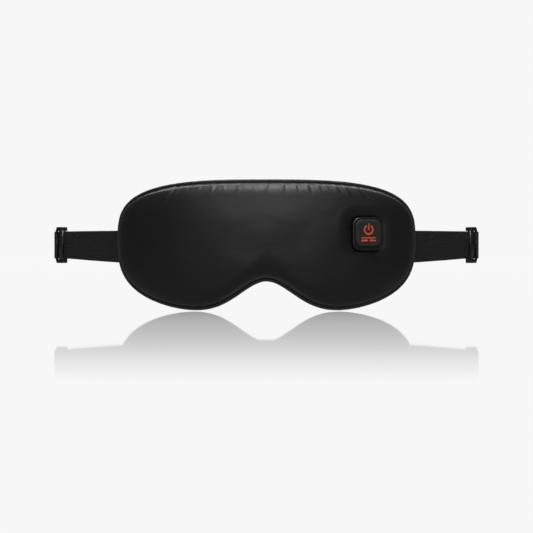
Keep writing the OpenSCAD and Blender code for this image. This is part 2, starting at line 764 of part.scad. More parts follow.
// ---------- drawing ----------
front_cover();
front_padding();
rear_padding();
rear_lining();
edge_piping();
heater_film();
temperature_sensor();
head_strap();
mirror([1, 0, 0]) strap_keeper();  // left_strap_keeper
strap_keeper();  // right_strap_keeper
mirror([1, 0, 0]) strap_end();  // left_strap_end
strap_end();  // right_strap_end
mirror([1, 0, 0]) slider();  // left_slider
slider();  // right_slider
mirror([1, 0, 0]) motor_pod_base();  // left_motor_pod_base
mirror([1, 0, 0]) motor_pod_cap();  // left_motor_pod_cap
mirror([1, 0, 0]) motor_can();  // left_motor_can
mirror([1, 0, 0]) motor_end_cap();  // left_motor_end_cap
mirror([1, 0, 0]) motor_shaft();  // left_motor_shaft
mirror([1, 0, 0]) eccentric_weight();  // left_eccentric_weight
motor_pod_base();  // right_motor_pod_base
motor_pod_cap();  // right_motor_pod_cap
motor_can();  // right_motor_can
motor_end_cap();  // right_motor_end_cap
motor_shaft();  // right_motor_shaft
eccentric_weight();  // right_eccentric_weight
control_bezel();
control_base();
housing_screws();
circuit_board();
controller_chip();
indicator_leds();
tact_switch();
switch_plunger();
button_cap();
power_icon();
level_marks();
charge_socket_shell();
charge_socket_tongue();
port_grommet();
battery_pack();
left_motor_lead();
right_motor_lead();
battery_lead();
heater_lead();
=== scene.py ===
"""Dresses the heated, vibrating eye mask: covers, strap, sliders, button and inner works.

Sizes in the classes are in millimetres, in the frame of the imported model, and become metres
when a mesh is finished. The studio's sizes are in metres.
"""

from __future__ import annotations

import json
import logging
import math
from dataclasses import dataclass, field
from enum import Enum
from typing import Callable, Iterable, Sequence

import bmesh
import bpy
from mathutils import Matrix, Vector, noise


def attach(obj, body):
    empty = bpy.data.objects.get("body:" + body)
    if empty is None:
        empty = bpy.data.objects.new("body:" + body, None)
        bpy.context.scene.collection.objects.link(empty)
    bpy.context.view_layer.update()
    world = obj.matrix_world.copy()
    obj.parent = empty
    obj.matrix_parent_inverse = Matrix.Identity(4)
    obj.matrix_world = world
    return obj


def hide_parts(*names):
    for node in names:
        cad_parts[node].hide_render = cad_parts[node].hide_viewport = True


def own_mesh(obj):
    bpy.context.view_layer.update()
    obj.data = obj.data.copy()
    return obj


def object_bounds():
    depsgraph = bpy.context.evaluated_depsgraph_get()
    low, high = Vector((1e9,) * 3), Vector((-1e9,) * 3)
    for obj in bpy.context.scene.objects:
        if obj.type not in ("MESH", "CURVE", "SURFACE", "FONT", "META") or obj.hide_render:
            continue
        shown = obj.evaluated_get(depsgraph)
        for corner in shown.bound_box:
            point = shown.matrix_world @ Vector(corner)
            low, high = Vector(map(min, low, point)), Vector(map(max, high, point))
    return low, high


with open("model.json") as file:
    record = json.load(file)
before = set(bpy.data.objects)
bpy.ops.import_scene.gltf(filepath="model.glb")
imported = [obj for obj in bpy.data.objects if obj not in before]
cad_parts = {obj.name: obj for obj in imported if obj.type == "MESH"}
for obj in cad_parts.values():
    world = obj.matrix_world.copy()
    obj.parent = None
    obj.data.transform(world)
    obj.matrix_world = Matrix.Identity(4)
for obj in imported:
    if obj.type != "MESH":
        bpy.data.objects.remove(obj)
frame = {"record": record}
CAD_BOX = [list(corner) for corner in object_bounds()]

LOG = logging.getLogger("eye_mask")
MM = 0.001
TAU = 2 * math.pi
UP = Vector((0, 0, 1))

BMesh = bmesh.types.BMesh
BMVert = bmesh.types.BMVert
BMEdge = bmesh.types.BMEdge
Object = bpy.types.Object
Material = bpy.types.Material
Spot = tuple[Vector, Vector, Vector]
SectionPoint = tuple[float, float, float]


def bell(off: float, width: float) -> float:
    """A bump of height 1 at 0 that falls away over a width."""
    return math.exp(-((off / width) ** 2))


def add_object(name: str, data: bpy.types.ID) -> Object:
    """Puts new data into the scene as an object of that name."""
    made = bpy.data.objects.new(name, data)
    bpy.context.scene.collection.objects.link(made)
    return made


# ---------------------------------------------------------------- shader helpers


class Tree:
    """Adds nodes to one material or to the world."""

    def __init__(self, name: str, shader: str = "BsdfPrincipled", world: bool = False) -> None:
        """Starts a material or a world with only a shader and an output.

        Args:
            name: Its name.
            shader: The shader's type, without the ShaderNode prefix.
            world: Whether it is a world.
        """
        self.owner = (bpy.data.worlds if world else bpy.data.materials).new(name)
        self.owner.use_nodes = True
        self.nodes = self.owner.node_tree.nodes
        self.links = self.owner.node_tree.links
        self.nodes.clear()
        self.shader = self.nodes.new("ShaderNode" + shader)
        output = self.nodes.new("ShaderNodeOutput" + ("World" if world else "Material"))
        self.links.new(self.shader.outputs[0], output.inputs[0])

    def node(
        self,
        kind: str,
        settings: dict | None = None,
        inputs: dict | None = None,
        out: int | str = 0,
    ) -> Socket:
        """Adds any node.

        Args:
            kind: The node's type, without the ShaderNode prefix.
            settings: Properties set before the inputs; a ramp's stops are (place, value) pairs.
            inputs: Values or sockets for the node's inputs, by name or number.
            out: Which output to return.

        Returns:
            The chosen output, wrapped.
        """
        made = self.nodes.new("ShaderNode" + kind)
        for key, value in (settings or {}).items():
            if key == "stops":
                self._set_stops(made.color_ramp, value)
            else:
                setattr(made, key, value)
        for key, value in (inputs or {}).items():
            self.set(made.inputs[key], value)
        return Socket(self, made.outputs[out])

    @staticmethod
    def _set_stops(ramp: bpy.types.ColorRamp, stops: Sequence[tuple]) -> None:
        """Sets a ramp's stops from (place, grey) pairs."""
        while len(ramp.elements) < len(stops):
            ramp.elements.new(0.5)
        for element, (place, value) in zip(ramp.elements, stops):
            element.position = place
            element.color = (value, value, value, 1)

    def set(self, socket: bpy.types.NodeSocket, value: object) -> None:
        """Links or sets one input."""
        if isinstance(value, Socket):
            self.links.new(value.out, socket)
        elif isinstance(value, tuple) and len(value) == 3 and socket.type == "RGBA":
            socket.default_value = (*value, 1)
        else:
            socket.default_value = value

    def surface(self, **values: object) -> Material | bpy.types.World:
        """Sets the shader's inputs.

        Args:
            values: Input names with underscores for spaces, and their values or sockets.

        Returns:
            The finished material or world.
        """
        for key, value in values.items():
            self.set(self.shader.inputs[key.replace("_", " ")], value)
        return self.owner

    def place(self, scale: float = 1.0) -> Socket:
        """Object coordinates in millimetres times scale."""
        spot = self.node("TexCoord", out="Object")
        return self.node("VectorMath", {"operation": "SCALE"}, {0: spot, "Scale": scale / MM})

    def attribute(self, name: str) -> Socket:
        """A number stored on the mesh."""
        return self.node("Attribute", {"attribute_name": name}, out="Fac")

    def noise(
        self, vector: Socket, scale: float, detail: float = 2.0, rough: float = 0.5
    ) -> Socket:
        """A noise value from 0 to 1."""
        inputs = {"Vector": vector, "Scale": scale, "Detail": detail, "Roughness": rough}
        return self.node("TexNoise", {}, inputs)

    def mix(self, factor: object, a: tuple, b: tuple) -> Socket:
        """A colour between a and b."""
        inputs = {"Factor": factor, 6: (*a, 1.0), 7: (*b, 1.0)}
        return self.node("Mix", {"data_type": "RGBA"}, inputs, out=2)

    def bump(self, height: Socket, depth_mm: float) -> Socket:
        """A normal from a height of 0 to 1 over depth_mm."""
        inputs = {"Height": height, "Distance": depth_mm * MM, "Strength": 1.0}
        return self.node("Bump", {}, inputs)


class Socket:
    """A node's output that can be used in sums."""

    def __init__(self, tree: Tree, out: bpy.types.NodeSocket) -> None:
        """Wraps an output of one of the tree's nodes."""
        self.tree = tree
        self.out = out

    def math(self, operation: str, a: object, b: object = 0.0, clamp: bool = False) -> Socket:
        """One Math node on a and b."""
        settings = {"operation": operation, "use_clamp": clamp}
        return self.tree.node("Math", settings, {0: a, 1: b})

    def __add__(self, other: object) -> Socket:
        """self + other."""
        return self.math("ADD", self, other)

    def __sub__(self, other: object) -> Socket:
        """self - other."""
        return self.math("SUBTRACT", self, other)

    def __rsub__(self, other: object) -> Socket:
        """other - self."""
        return self.math("SUBTRACT", other, self)

    def __mul__(self, other: object) -> Socket:
        """self * other."""
        return self.math("MULTIPLY", self, other)

    __radd__ = __add__
    __rmul__ = __mul__

    def wave(self, turns: float = 1.0) -> Socket:
        """A sine from 0 to 1 of this value times turns."""
        return self.math("SINE", self * (TAU * turns)) * 0.5 + 0.5

    def axis(self, name: str) -> Socket:
        """One coordinate of a vector: X, Y or Z."""
        return self.tree.node("SeparateXYZ", {}, {0: self}, out=name)

    def clamp(self) -> Socket:
        """This value held between 0 and 1."""
        return self.math("ADD", self, 0.0, clamp=True)


# ---------------------------------------------------------------- finishes


@dataclass(frozen=True)
class Satin:
    """Smooth woven satin with a soft sheen."""

    name: str
    dark: tuple = (0.0075, 0.0075, 0.008)
    light: tuple = (0.011, 0.011, 0.0115)
    thread_mm: float = 0.22
    roughness: float = 0.44

    def make(self) -> Material:
        """Builds the satin: fine crossed threads, slubs and a little unevenness in the dye."""
        tree = Tree(self.name)
        spot = tree.place()
        warp, weft = spot.axis("X"), spot.axis("Z")
        drift = tree.noise(spot, 0.35, 3.0)
        floats = (warp + drift * 0.3).wave(1 / self.thread_mm)
        threads = floats * 0.35 + weft.wave(0.5 / self.thread_mm) * 0.65
        slub = tree.noise(tree.place(0.5), 0.09, 4.0, 0.6)
        lint = tree.noise(spot, 6.0, 2.0)
        colour = tree.mix((slub * 0.6 + lint * 0.4).clamp(), self.dark, self.light)
        normal = tree.bump(threads * 0.7 + lint * 0.3, 0.016)
        return tree.surface(
            Base_Color=colour,
            Roughness=(self.roughness + 0.10 * slub - 0.04 * threads).clamp(),
            Normal=normal,
            Sheen_Weight=0.06,
            Sheen_Roughness=0.35,
            Sheen_Tint=(0.8, 0.8, 0.85, 1.0),
            Specular_IOR_Level=0.35,
        )


@dataclass(frozen=True)
class BrushedKnit:
    """Soft brushed jersey for the side next to the face."""

    name: str
    dark: tuple = (0.014, 0.014, 0.016)
    light: tuple = (0.034, 0.034, 0.038)
    loop_mm: float = 0.7

    def make(self) -> Material:
        """Builds the jersey: rows of small loops under a short nap."""
        tree = Tree(self.name)
        spot = tree.place()
        across, up = spot.axis("X"), spot.axis("Z")
        rows = (up + across.wave(1 / self.loop_mm) * 0.25).wave(1.4 / self.loop_mm)
        nap = tree.noise(spot, 3.5, 4.0, 0.65)
        cloud = tree.noise(spot, 0.08, 3.0)
        colour = tree.mix((nap * 0.55 + rows * 0.2 + cloud * 0.25).clamp(), self.dark, self.light)
        return tree.surface(
            Base_Color=colour,
            Roughness=0.92,
            Normal=tree.bump(rows * 0.4 + nap * 0.6, 0.09),
            Sheen_Weight=0.8,
            Sheen_Roughness=0.5,
            Specular_IOR_Level=0.2,
        )


@dataclass(frozen=True)
class Elastic:
    """Woven elastic: lengthwise ribs in the mesh, with crossing threads over them."""

    name: str
    dark: tuple = (0.004, 0.004, 0.0045)
    light: tuple = (0.024, 0.024, 0.025)
    pick_mm: float = 0.62

    def make(self) -> Material:
        """Builds the elastic from the strap's own along, across and crest values, with the rib crests
        painted lighter as painted highlight and the troughs darker as painted shade.
        """
        tree = Tree(self.name)
        along, across, crest = (tree.attribute(n) for n in ("along_mm", "across_mm", "crest"))
        picks = (along + across * 0.12).wave(1 / self.pick_mm)
        fray = tree.noise(tree.place(), 4.0, 3.0, 0.6)
        # Painted highlight on the rib crests and painted shade in the troughs between them; the
        # crossing threads are painted only on the crests, and the fray noise adds random tone.
        painted_rib_light_and_fray = (crest * 0.75 + picks * crest * 0.2 + fray * 0.1 - 0.08).clamp()
        return tree.surface(
            Base_Color=tree.mix(painted_rib_light_and_fray, self.dark, self.light),
            Roughness=(0.78 - 0.16 * crest + 0.1 * fray).clamp(),
            Normal=tree.bump(picks * 0.75 + fray * 0.25, 0.06),
            Sheen_Weight=0.15,
            Sheen_Roughness=0.4,
            Specular_IOR_Level=0.3,
        )


@dataclass(frozen=True)
class Binding:
    """Bias-cut binding over piping cord, with its own along value."""

    name: str
    dark: tuple = (0.014, 0.014, 0.015)
    light: tuple = (0.030, 0.030, 0.032)
    weave_mm: float = 0.45
    roughness: float = 0.42

    def make(self) -> Material:
        """Builds the binding: a slanted weave that follows the cord, with faint gathers."""
        tree = Tree(self.name)
        along, across = tree.attribute("along_mm"), tree.attribute("across_mm")
        weave = (along + across).wave(1 / self.weave_mm) * (along - across).wave(1 / self.weave_mm)
        gather = tree.noise(tree.place(), 0.8, 3.0)
        return tree.surface(
            Base_Color=tree.mix((weave * 0.4 + gather * 0.6).clamp(), self.dark, self.light),
            Roughness=(self.roughness + 0.15 * gather).clamp(),
            Normal=tree.bump(weave * 0.6 + gather * 0.4, 0.05),
            Sheen_Weight=0.3,
            Sheen_Roughness=0.35,
            Specular_IOR_Level=0.4,
        )


@dataclass(frozen=True)
class Moulded:
    """Moulded plastic or silicone with spark texture."""

    name: str
    colour: tuple
    roughness: float = 0.42
    grain_mm: float = 0.02
    grain_scale: float = 3.2
    variation: float = 0.25
    specular: float = 0.5
    coat: float = 0.0
    subsurface: float = 0.0

    def make(self) -> Material:
        """Builds the plastic: fine spark-eroded grain and slow changes of gloss."""
        tree = Tree(self.name)
        spot = tree.place()
        grain = tree.noise(spot, self.grain_scale, 2.0, 0.7)
        cloud = tree.noise(spot, 0.22, 3.0)
        darker = tuple(c * (1 - self.variation) for c in self.colour)
        return tree.surface(
            Base_Color=tree.mix((cloud * 0.7 + grain * 0.3).clamp(), darker, self.colour),
            Roughness=(self.roughness - 0.08 + 0.12 * cloud + 0.06 * grain).clamp(),
            Normal=tree.bump(grain, self.grain_mm),
            Specular_IOR_Level=self.specular,
            Coat_Weight=self.coat,
            Coat_Roughness=0.25,
            Subsurface_Weight=self.subsurface,
        )


@dataclass(frozen=True)
class Metal:
    """Plated, turned or sintered metal."""

    name: str
    colour: tuple
    roughness: float = 0.28
    brush_mm: float = 0.12
    depth_mm: float = 0.006
    axis: str = "X"

    def make(self) -> Material:
        """Builds the metal: fine turning marks across its axis and a few dull patches."""
        tree = Tree(self.name)
        spot = tree.place()
        lines = (spot.axis(self.axis) + tree.noise(spot, 0.8, 2.0) * 0.1).wave(1 / self.brush_mm)
        tarnish = tree.noise(spot, 0.35, 4.0, 0.6)
        dull = tuple(c * 0.72 for c in self.colour)
        return tree.surface(
            Base_Color=tree.mix(tarnish, dull, self.colour),
            Metallic=1.0,
            Roughness=(self.roughness + 0.2 * tarnish + 0.05 * lines).clamp(),
            Normal=tree.bump(lines, self.depth_mm),
        )


@dataclass(frozen=True)
class Foam:
    """Open-cell sponge."""

    name: str
    dark: tuple = (0.16, 0.16, 0.17)
    light: tuple = (0.34, 0.34, 0.35)
    cell_mm: float = 0.9

    def make(self) -> Material:
        """Builds the sponge: cells whose middles, the pores, are painted darker as painted shade."""
        tree = Tree(self.name)
        spot = tree.place()
        inputs = {"Vector": spot, "Scale": 1 / self.cell_mm}
        cells = tree.node("TexVoronoi", {"feature": "F1"}, inputs, out="Distance")
        crumbs = tree.noise(spot, 1.4, 4.0, 0.7)
        # The cell middles are the pits of the bump and are painted darker as painted shade in the
        # pores; the crumbs add random tone.
        return tree.surface(
            Base_Color=tree.mix((cells * 0.8 + crumbs * 0.4).clamp(), self.dark, self.light),
            Roughness=0.95,
            Normal=tree.bump((cells + crumbs * 0.4).clamp(), 0.35),
            Specular_IOR_Level=0.15,
        )


@dataclass(frozen=True)
class Film:
    """Amber heating film with a printed track that snakes up and down."""

    name: str
    amber: tuple = (0.42, 0.15, 0.03)
    track: tuple = (0.10, 0.045, 0.02)
    pitch_mm: float = 3.2
    turn_mm: float = 46.0

    def make(self) -> Material:
        """Builds the film."""
        tree = Tree(self.name)
        spot = tree.place()
        snake = (spot.axis("X") + spot.axis("Z").wave(1 / self.turn_mm) * 0.6).wave(
            1 / self.pitch_mm
        )
        line = tree.node("ValToRGB", {"stops": ((0.62, 0.0), (0.70, 1.0))}, {0: snake})
        blotch = tree.noise(spot, 0.3, 3.0)
        return tree.surface(
            Base_Color=tree.mix(line, self.amber, self.track),
            Roughness=(0.22 + 0.2 * blotch).clamp(),
            Metallic=0.0,
            Normal=tree.bump(line, 0.03),
            Coat_Weight=0.4,
        )


@dataclass(frozen=True)
class BoardMask:
    """Green solder resist over copper tracks and pads."""

    name: str
    resist: tuple = (0.006, 0.07, 0.028)
    track: tuple = (0.015, 0.13, 0.05)

    def make(self) -> Material:
        """Builds the board's finish: stepped tracks and small tinned dots."""
        tree = Tree(self.name)
        spot = tree.place()
        inputs = {
            "Vector": spot,
            "Scale": 0.42,
            "Mortar Size": 0.05,
            "Color1": (0, 0, 0),
            "Color2": (0, 0, 0),
            "Mortar": (1, 1, 1),
        }
        bricks = tree.node("TexBrick", {"offset": 0.5}, inputs, out="Fac")
        haze = tree.noise(spot, 0.6, 3.0)
        return tree.surface(
            Base_Color=tree.mix((bricks * 0.8 + haze * 0.2).clamp(), self.resist, self.track),
            Roughness=(0.25 + 0.15 * haze).clamp(),
            Normal=tree.bump(bricks, 0.035),
            Coat_Weight=0.3,
        )


@dataclass(frozen=True)
class Foil:
    """Crinkled aluminium laminate round a battery cell."""

    name: str
    colour: tuple = (0.62, 0.64, 0.67)

    def make(self) -> Material:
        """Builds the foil: creases and a soft metal sheen."""
        tree = Tree(self.name)
        spot = tree.place()
        crease = tree.noise(spot, 0.5, 4.0, 0.6)
        fine = tree.noise(spot, 3.0, 2.0)
        return tree.surface(
            Base_Color=tree.mix(crease, tuple(c * 0.8 for c in self.colour), self.colour),
            Metallic=0.9,
            Roughness=(0.28 + 0.2 * fine).clamp(),
            Normal=tree.bump(crease * 0.8 + fine * 0.2, 0.12),
        )


class Finish(Enum):
    """Every finish on the mask, by the name of the record's slot that it dresses."""

    satin_cover = Satin("black_satin")
    soft_lining = BrushedKnit("brushed_lining")
    piping_fabric = Binding("piping_binding")
    thread = Moulded("sewing_thread", (0.006, 0.006, 0.0065), 0.8, 0.01, 6.0, 0.3, 0.2)
    foam = Foam("sponge")
    elastic = Elastic("ribbed_elastic")
    slider_plastic = Moulded("slider_acetal", (0.012, 0.012, 0.013), 0.36, 0.008, 2.2, 0.2, 0.45)
    bezel_plastic = Moulded("bezel_abs", (0.006, 0.006, 0.0065), 0.34, 0.008, 4.0)
    button_silicone = Moulded("button_silicone", (0.014, 0.014, 0.015), 0.42, 0.006, 5.0, 0.2)
    mark_inlay = Moulded("mark_inlay", (0.92, 0.075, 0.022), 0.5, 0.008, 5.0, 0.10)
    inner_plastic = Moulded("inner_abs", (0.045, 0.045, 0.05), 0.5, 0.03)
    port_rubber = Moulded("port_rubber", (0.016, 0.016, 0.017), 0.6, 0.03)
    metal = Metal("nickel_plate", (0.66, 0.66, 0.68))
    weight_metal = Metal("sintered_weight", (0.36, 0.36, 0.38), 0.5, 0.4, 0.02)
    end_cap_plastic = Moulded(
        "end_cap_nylon", (0.78, 0.76, 0.71), 0.5, 0.02, 3.0, 0.1, subsurface=0.1
    )
    circuit = BoardMask("board_resist")
    chip_plastic = Moulded("chip_epoxy", (0.012, 0.012, 0.014), 0.55, 0.02)
    led_lens = Moulded(
        "led_resin", (0.85, 0.83, 0.72), 0.2, 0.004, 3.0, 0.08, coat=0.3, subsurface=0.3
    )
    switch_metal = Metal("tinned_steel", (0.6, 0.61, 0.63), 0.34)
    cell_foil = Foil("cell_foil")
    heater = Film("heater_film")
    sensor_bead = Moulded("sensor_glass", (0.62, 0.50, 0.25), 0.15, 0.004, 3.0, 0.15, coat=0.6)
    lead_wire = Moulded("lead_silicone", (0.42, 0.022, 0.015), 0.4, 0.01, 3.0, 0.15)

    @property
    def slot(self) -> str:
        """The record's slot that the finish belongs to."""
        return "piping_fabric" if self is Finish.thread else self.name

    @property
    def material(self) -> Material:
        """The finish's material, made when it is first asked for."""
        return bpy.data.materials.get(self.value.name) or self.value.make()


# ---------------------------------------------------------------- mesh helpers


def finished(bm: BMesh, name: str, finish: Finish, smooth: bool = True) -> Object:
    """Turns a bmesh in millimetres into a piece in metres.

    Args:
        bm: The mesh, freed here.
        name: The piece's name.
        finish: Its finish.
        smooth: Whether its faces are shaded smooth.

    Returns:
        The new object.
    """
    bmesh.ops.remove_doubles(bm, verts=bm.verts, dist=1e-4)
    bmesh.ops.recalc_face_normals(bm, faces=bm.faces)
    bmesh.ops.scale(bm, vec=Vector((MM, MM, MM)), verts=bm.verts)
    mesh = bpy.data.meshes.new(name)
    for face in bm.faces:
        face.smooth = smooth
    bm.to_mesh(mesh)
    bm.free()
    piece = add_object(name, mesh)
    piece.data.materials.append(finish.material)
    return piece


def apply_modifiers(piece: Object) -> None:
    """Bakes a piece's modifiers into its mesh."""
    graph = bpy.context.evaluated_depsgraph_get()
    mesh = bpy.data.meshes.new_from_object(piece.evaluated_get(graph))
    old = piece.data
    piece.modifiers.clear()
    piece.data = mesh
    bpy.data.meshes.remove(old)


def thicken(piece: Object, thickness_mm: float) -> None:
    """Gives a sheet its thickness, inwards."""
    solid = piece.modifiers.new("thickness", "SOLIDIFY")
    solid.thickness = thickness_mm * MM
    solid.offset = -1
    solid.use_even_offset = True
    apply_modifiers(piece)


def combine(piece: Object, others: Iterable[Object], operation: str) -> None:
    """Cuts, trims or joins a piece by each of the others, and removes them.

    Args:
        piece: The piece that changes.
        others: The solids to combine it with, in turn.
        operation: DIFFERENCE, INTERSECT or UNION.
    """
    for other in others:
        step = piece.modifiers.new("combine", "BOOLEAN")
        step.operation = operation
        step.solver = "EXACT"
        step.object = other
        apply_modifiers(piece)
        bpy.data.objects.remove(other)


def extruded(bm: BMesh, edges: Sequence[BMEdge]) -> tuple[list[BMVert], list[BMEdge]]:
    """Extrudes edges in place and returns the new points and the edges between them."""
    made = bmesh.ops.extrude_edge_only(bm, edges=edges)["geom"]
    verts = [g for g in made if isinstance(g, BMVert)]
    known = set(verts)
    rims = [g for g in made if isinstance(g, BMEdge) and all(v in known for v in g.verts)]
    return verts, rims


def stitch(bm: BMesh, spot: Vector, axes: tuple, size: tuple[float, float, float]) -> None:
    """Adds one stitch: a small ball stretched along its own three axes."""
    made = bmesh.ops.create_icosphere(bm, subdivisions=1, radius=1.0)["verts"]
    turn = Matrix(axes).transposed().to_4x4()
    stretch = Matrix.Diagonal((*size, 1))
    bmesh.ops.transform(bm, matrix=Matrix.Translation(spot) @ turn @ stretch, verts=made)


def bevelled(bm: BMesh, edges: Iterable[BMEdge], offset: float, segments: int) -> dict:
    """Rounds edges of a mesh and returns what that made."""
    return bmesh.ops.bevel(
        bm,
        geom=list(edges),
        offset=offset,
        segments=segments,
        profile=0.5,
        affect="EDGES",
        material=-1,
    )


def soften(piece: Object, width_mm: float) -> None:
    """Rounds a piece's sharp edges, and keeps its flats flat."""
    bevel = piece.modifiers.new("edges", "BEVEL")
    bevel.width = width_mm * MM
    bevel.segments = 3
    bevel.limit_method = "ANGLE"
    bevel.angle_limit = math.radians(40)
    bevel.harden_normals = False
    bevel.use_clamp_overlap = True
    weighted = piece.modifiers.new("flats", "WEIGHTED_NORMAL")
    weighted.keep_sharp = True
    apply_modifiers(piece)


def rounded_plate(
    bm: BMesh,
    width: float,
    height: float,
    radius: float,
    y0: float,
    y1: float,
    place: Matrix,
    steps: int,
    rim: float = 0.0,
) -> list[BMVert]:
    """Adds a plate with rounded corners, between two depths.

    Args:
        bm: The mesh to add to.
        width: Size along the plate's X.
        height: Size along its Z.
        radius: Corner radius.
        y0: Depth of its front.
        y1: Depth of its back.
        place: Where the plate's frame lies.
        steps: Segments in each corner.
        rim: Radius of the rounding round the front face.

    Returns:
        The plate's points.
    """
    made = bmesh.ops.create_cube(bm, size=1.0)["verts"]
    bmesh.ops.scale(bm, vec=(width, y1 - y0, height), verts=made)
    bmesh.ops.translate(bm, vec=(0, (y0 + y1) / 2, 0), verts=made)
    edges = {e for v in made for e in v.link_edges}
    posts = [e for e in edges if abs(e.verts[0].co.y - e.verts[1].co.y) > 1e-6]
    rounded = bevelled(bm, posts, radius, steps)
    made = list({v for v in made if v.is_valid} | {v for f in rounded["faces"] for v in f.verts})
    if rim > 0:
        front = [
            e
            for e in {e for v in made for e in v.link_edges}
            if all(abs(v.co.y - y0) < 1e-5 for v in e.verts)
        ]
        rimmed = bevelled(bm, front, rim, 5)
        made = list({v for v in made if v.is_valid} | {v for f in rimmed["faces"] for v in f.verts})
    bmesh.ops.transform(bm, matrix=place, verts=made)
    return made


def rod(
    bm: BMesh, radius: float, start: Vector, end: Vector, segments: int = 24
) -> list[BMVert]:
    """Adds a capped round rod from start to end and returns its points."""
    run = end - start
    turn = UP.rotation_difference(run).to_matrix().to_4x4()
    return bmesh.ops.create_cone(
        bm,
        cap_ends=True,
        segments=segments,
        radius1=radius,
        radius2=radius,
        depth=run.length,
        matrix=Matrix.Translation((start + end) / 2) @ turn,
    )["verts"]


def sweep(
    bm: BMesh,
    section: Sequence[SectionPoint],
    spots: Sequence[Spot],
    closed: bool = False,
) -> None:
    """Draws a closed section along a line, and stores where each point lies on it.

    Args:
        bm: The mesh to add to.
        section: Points of the section, as (out, up, crest).
        spots: For each ring, its place and the directions of out and up.
        closed: Whether the last ring joins the first.
    """
    layers = {
        name: bm.verts.layers.float.get(name) or bm.verts.layers.float.new(name)
        for name in ("along_mm", "across_mm", "crest")
    }

    def lay(ring: Sequence[BMVert], spot: tuple, along: float) -> None:
        """Moves a ring to its place."""
        for vert, (out, up, crest) in zip(ring, section):
            vert.co = spot[0] + out * spot[1] + up * spot[2]
            vert[layers["along_mm"]] = along
            vert[layers["across_mm"]] = up + out
            vert[layers["crest"]] = crest

    def rims_of(ring: Sequence[BMVert]) -> list[BMEdge]:
        """The edges round a ring, in order."""
        return [bm.edges.get(pair) for pair in zip(ring, [*ring[1:], ring[0]])]

    def grown(ring: Sequence[BMVert]) -> list[BMVert]:
        """Extrudes a ring and finds the new ring in the same order."""
        new = set(extruded(bm, rims_of(ring))[0])
        return [
            next(e.other_vert(v) for e in v.link_edges if e.other_vert(v) in new) for v in ring
        ]

    ring = bmesh.ops.create_circle(bm, cap_ends=False, segments=len(section), radius=1.0)["verts"]
    first_rims, along = rims_of(ring), 0.0
    lay(ring, spots[0], along)
    for before, spot in zip(spots, spots[1:]):
        along += (spot[0] - before[0]).length
        ring = grown(ring)
        lay(ring, spot, along)
    rims = rims_of(ring)
    if closed:
        bmesh.ops.bridge_loops(bm, edges=first_rims + rims)
    else:
        bmesh.ops.contextual_create(bm, geom=first_rims)
        bmesh.ops.contextual_create(bm, geom=rims)


def round_section(radius: float, sides: int) -> list[SectionPoint]:
    """A round section's points."""
    angles = [TAU * i / sides for i in range(sides)]
    return [(radius * math.cos(a), radius * math.sin(a), 1.0) for a in angles]


def resampled(line: Sequence[Vector], step: float) -> list[Vector]:
    """The same line with points about a step apart, its bends kept."""
    points = [line[0]]
    for a, b in zip(line, line[1:]):
        parts = max(1, round((b - a).length / step))
        points += [a.lerp(b, i / parts) for i in range(1, parts + 1)]
    return points


# ---------------------------------------------------------------- the mask's form


@dataclass(frozen=True)
class MaskForm:
    """The mask's outline and the curve that it is wrapped round."""

    half_w: float = 110.0
    rise_h: float = 45.6
    drop_h: float = 48.8
    waist_z: float = 3.0
    nose_rise: float = 24.6
    nose_half_w: float = 29.2
    nose_round: float = 1.95
    round_top: float = 3.4
    round_low: float = 2.9
    face_r: float = 200.0
    front_crown: float = 14.0
    rear_crown: float = 8.0
    edge_t: float = 0.6

    @property
    def centre_y(self) -> float:
        """Where the axis of the face's curve lies."""
        return self.face_r - self.rear_crown - self.edge_t

    def outline(self, angle: float) -> tuple[float, float]:
        """The seam's flattened place, x and z, in a direction given in radians."""
        up = math.sin(angle) >= 0
        power = self.round_top if up else self.round_low
        height = self.rise_h - self.waist_z if up else self.drop_h + self.waist_z
        sideways, upwards = abs(math.cos(angle)) / self.half_w, abs(math.sin(angle)) / height
        reach = (sideways**power + upwards**power) ** (-1 / power)
        x = reach * math.cos(angle)
        z = self.waist_z + reach * math.sin(angle)
        if not up:
            z += self.nose_rise * math.exp(-((abs(x) / self.nose_half_w) ** self.nose_round))
        return x, z

    def support(self, angle: float) -> float:
        """How far the seam's tangent, in a direction in radians, lies from the middle."""
        here, there = Vector(self.outline(angle)), Vector(self.outline((angle + 1e-3) % TAU))
        run = (there - here).normalized()
        return abs(here.x * run.y - here.y * run.x)

    def wrap(self, x: float, z: float, depth: float) -> Vector:
        """A flattened place at a depth in front of the seam, wrapped round the face."""
        turn = math.asin(max(-1.0, min(1.0, x / self.face_r)))
        reach = self.face_r + depth
        return Vector((reach * math.sin(turn), self.centre_y - reach * math.cos(turn), z))

    def at(self, x: float, z: float) -> Matrix:
        """The frame of a piece put on the mask: X outwards, Y into it, Z up."""
        centre = Matrix.Translation((0, self.centre_y, 0))
        turn = Matrix.Rotation(math.asin(x / self.face_r), 4, "Z")
        return centre @ turn @ Matrix.Translation((0, -self.face_r, z))

    @staticmethod
    def swell(share: float) -> float:
        """How full the pad is at a share of the way to its seam."""
        return math.sqrt(max(0.0, 1 - share**3))


@dataclass(frozen=True)
class Pucker:
    """One fold of the cover where it is gathered into the seam."""

    x: float
    slant: float
    width: float
    height: float
    reach: float
    hollow: float = 0.75
    hollow_at: float = 1.5

    def rise(self, x: float, below: float) -> float:
        """How far the fold lifts the cover at a place that far below the seam."""
        share = below / self.reach
        if not -0.2 <= share < 1:
            return 0.0
        off = (x - self.x - self.slant * below) / self.width
        fade = (1 - share) ** 2 * (1 + 1.2 * share) * min(1.0, 0.25 + below / 2.5)
        return self.height * fade * (bell(off, 1) - self.hollow * bell(off - self.hollow_at, 1))


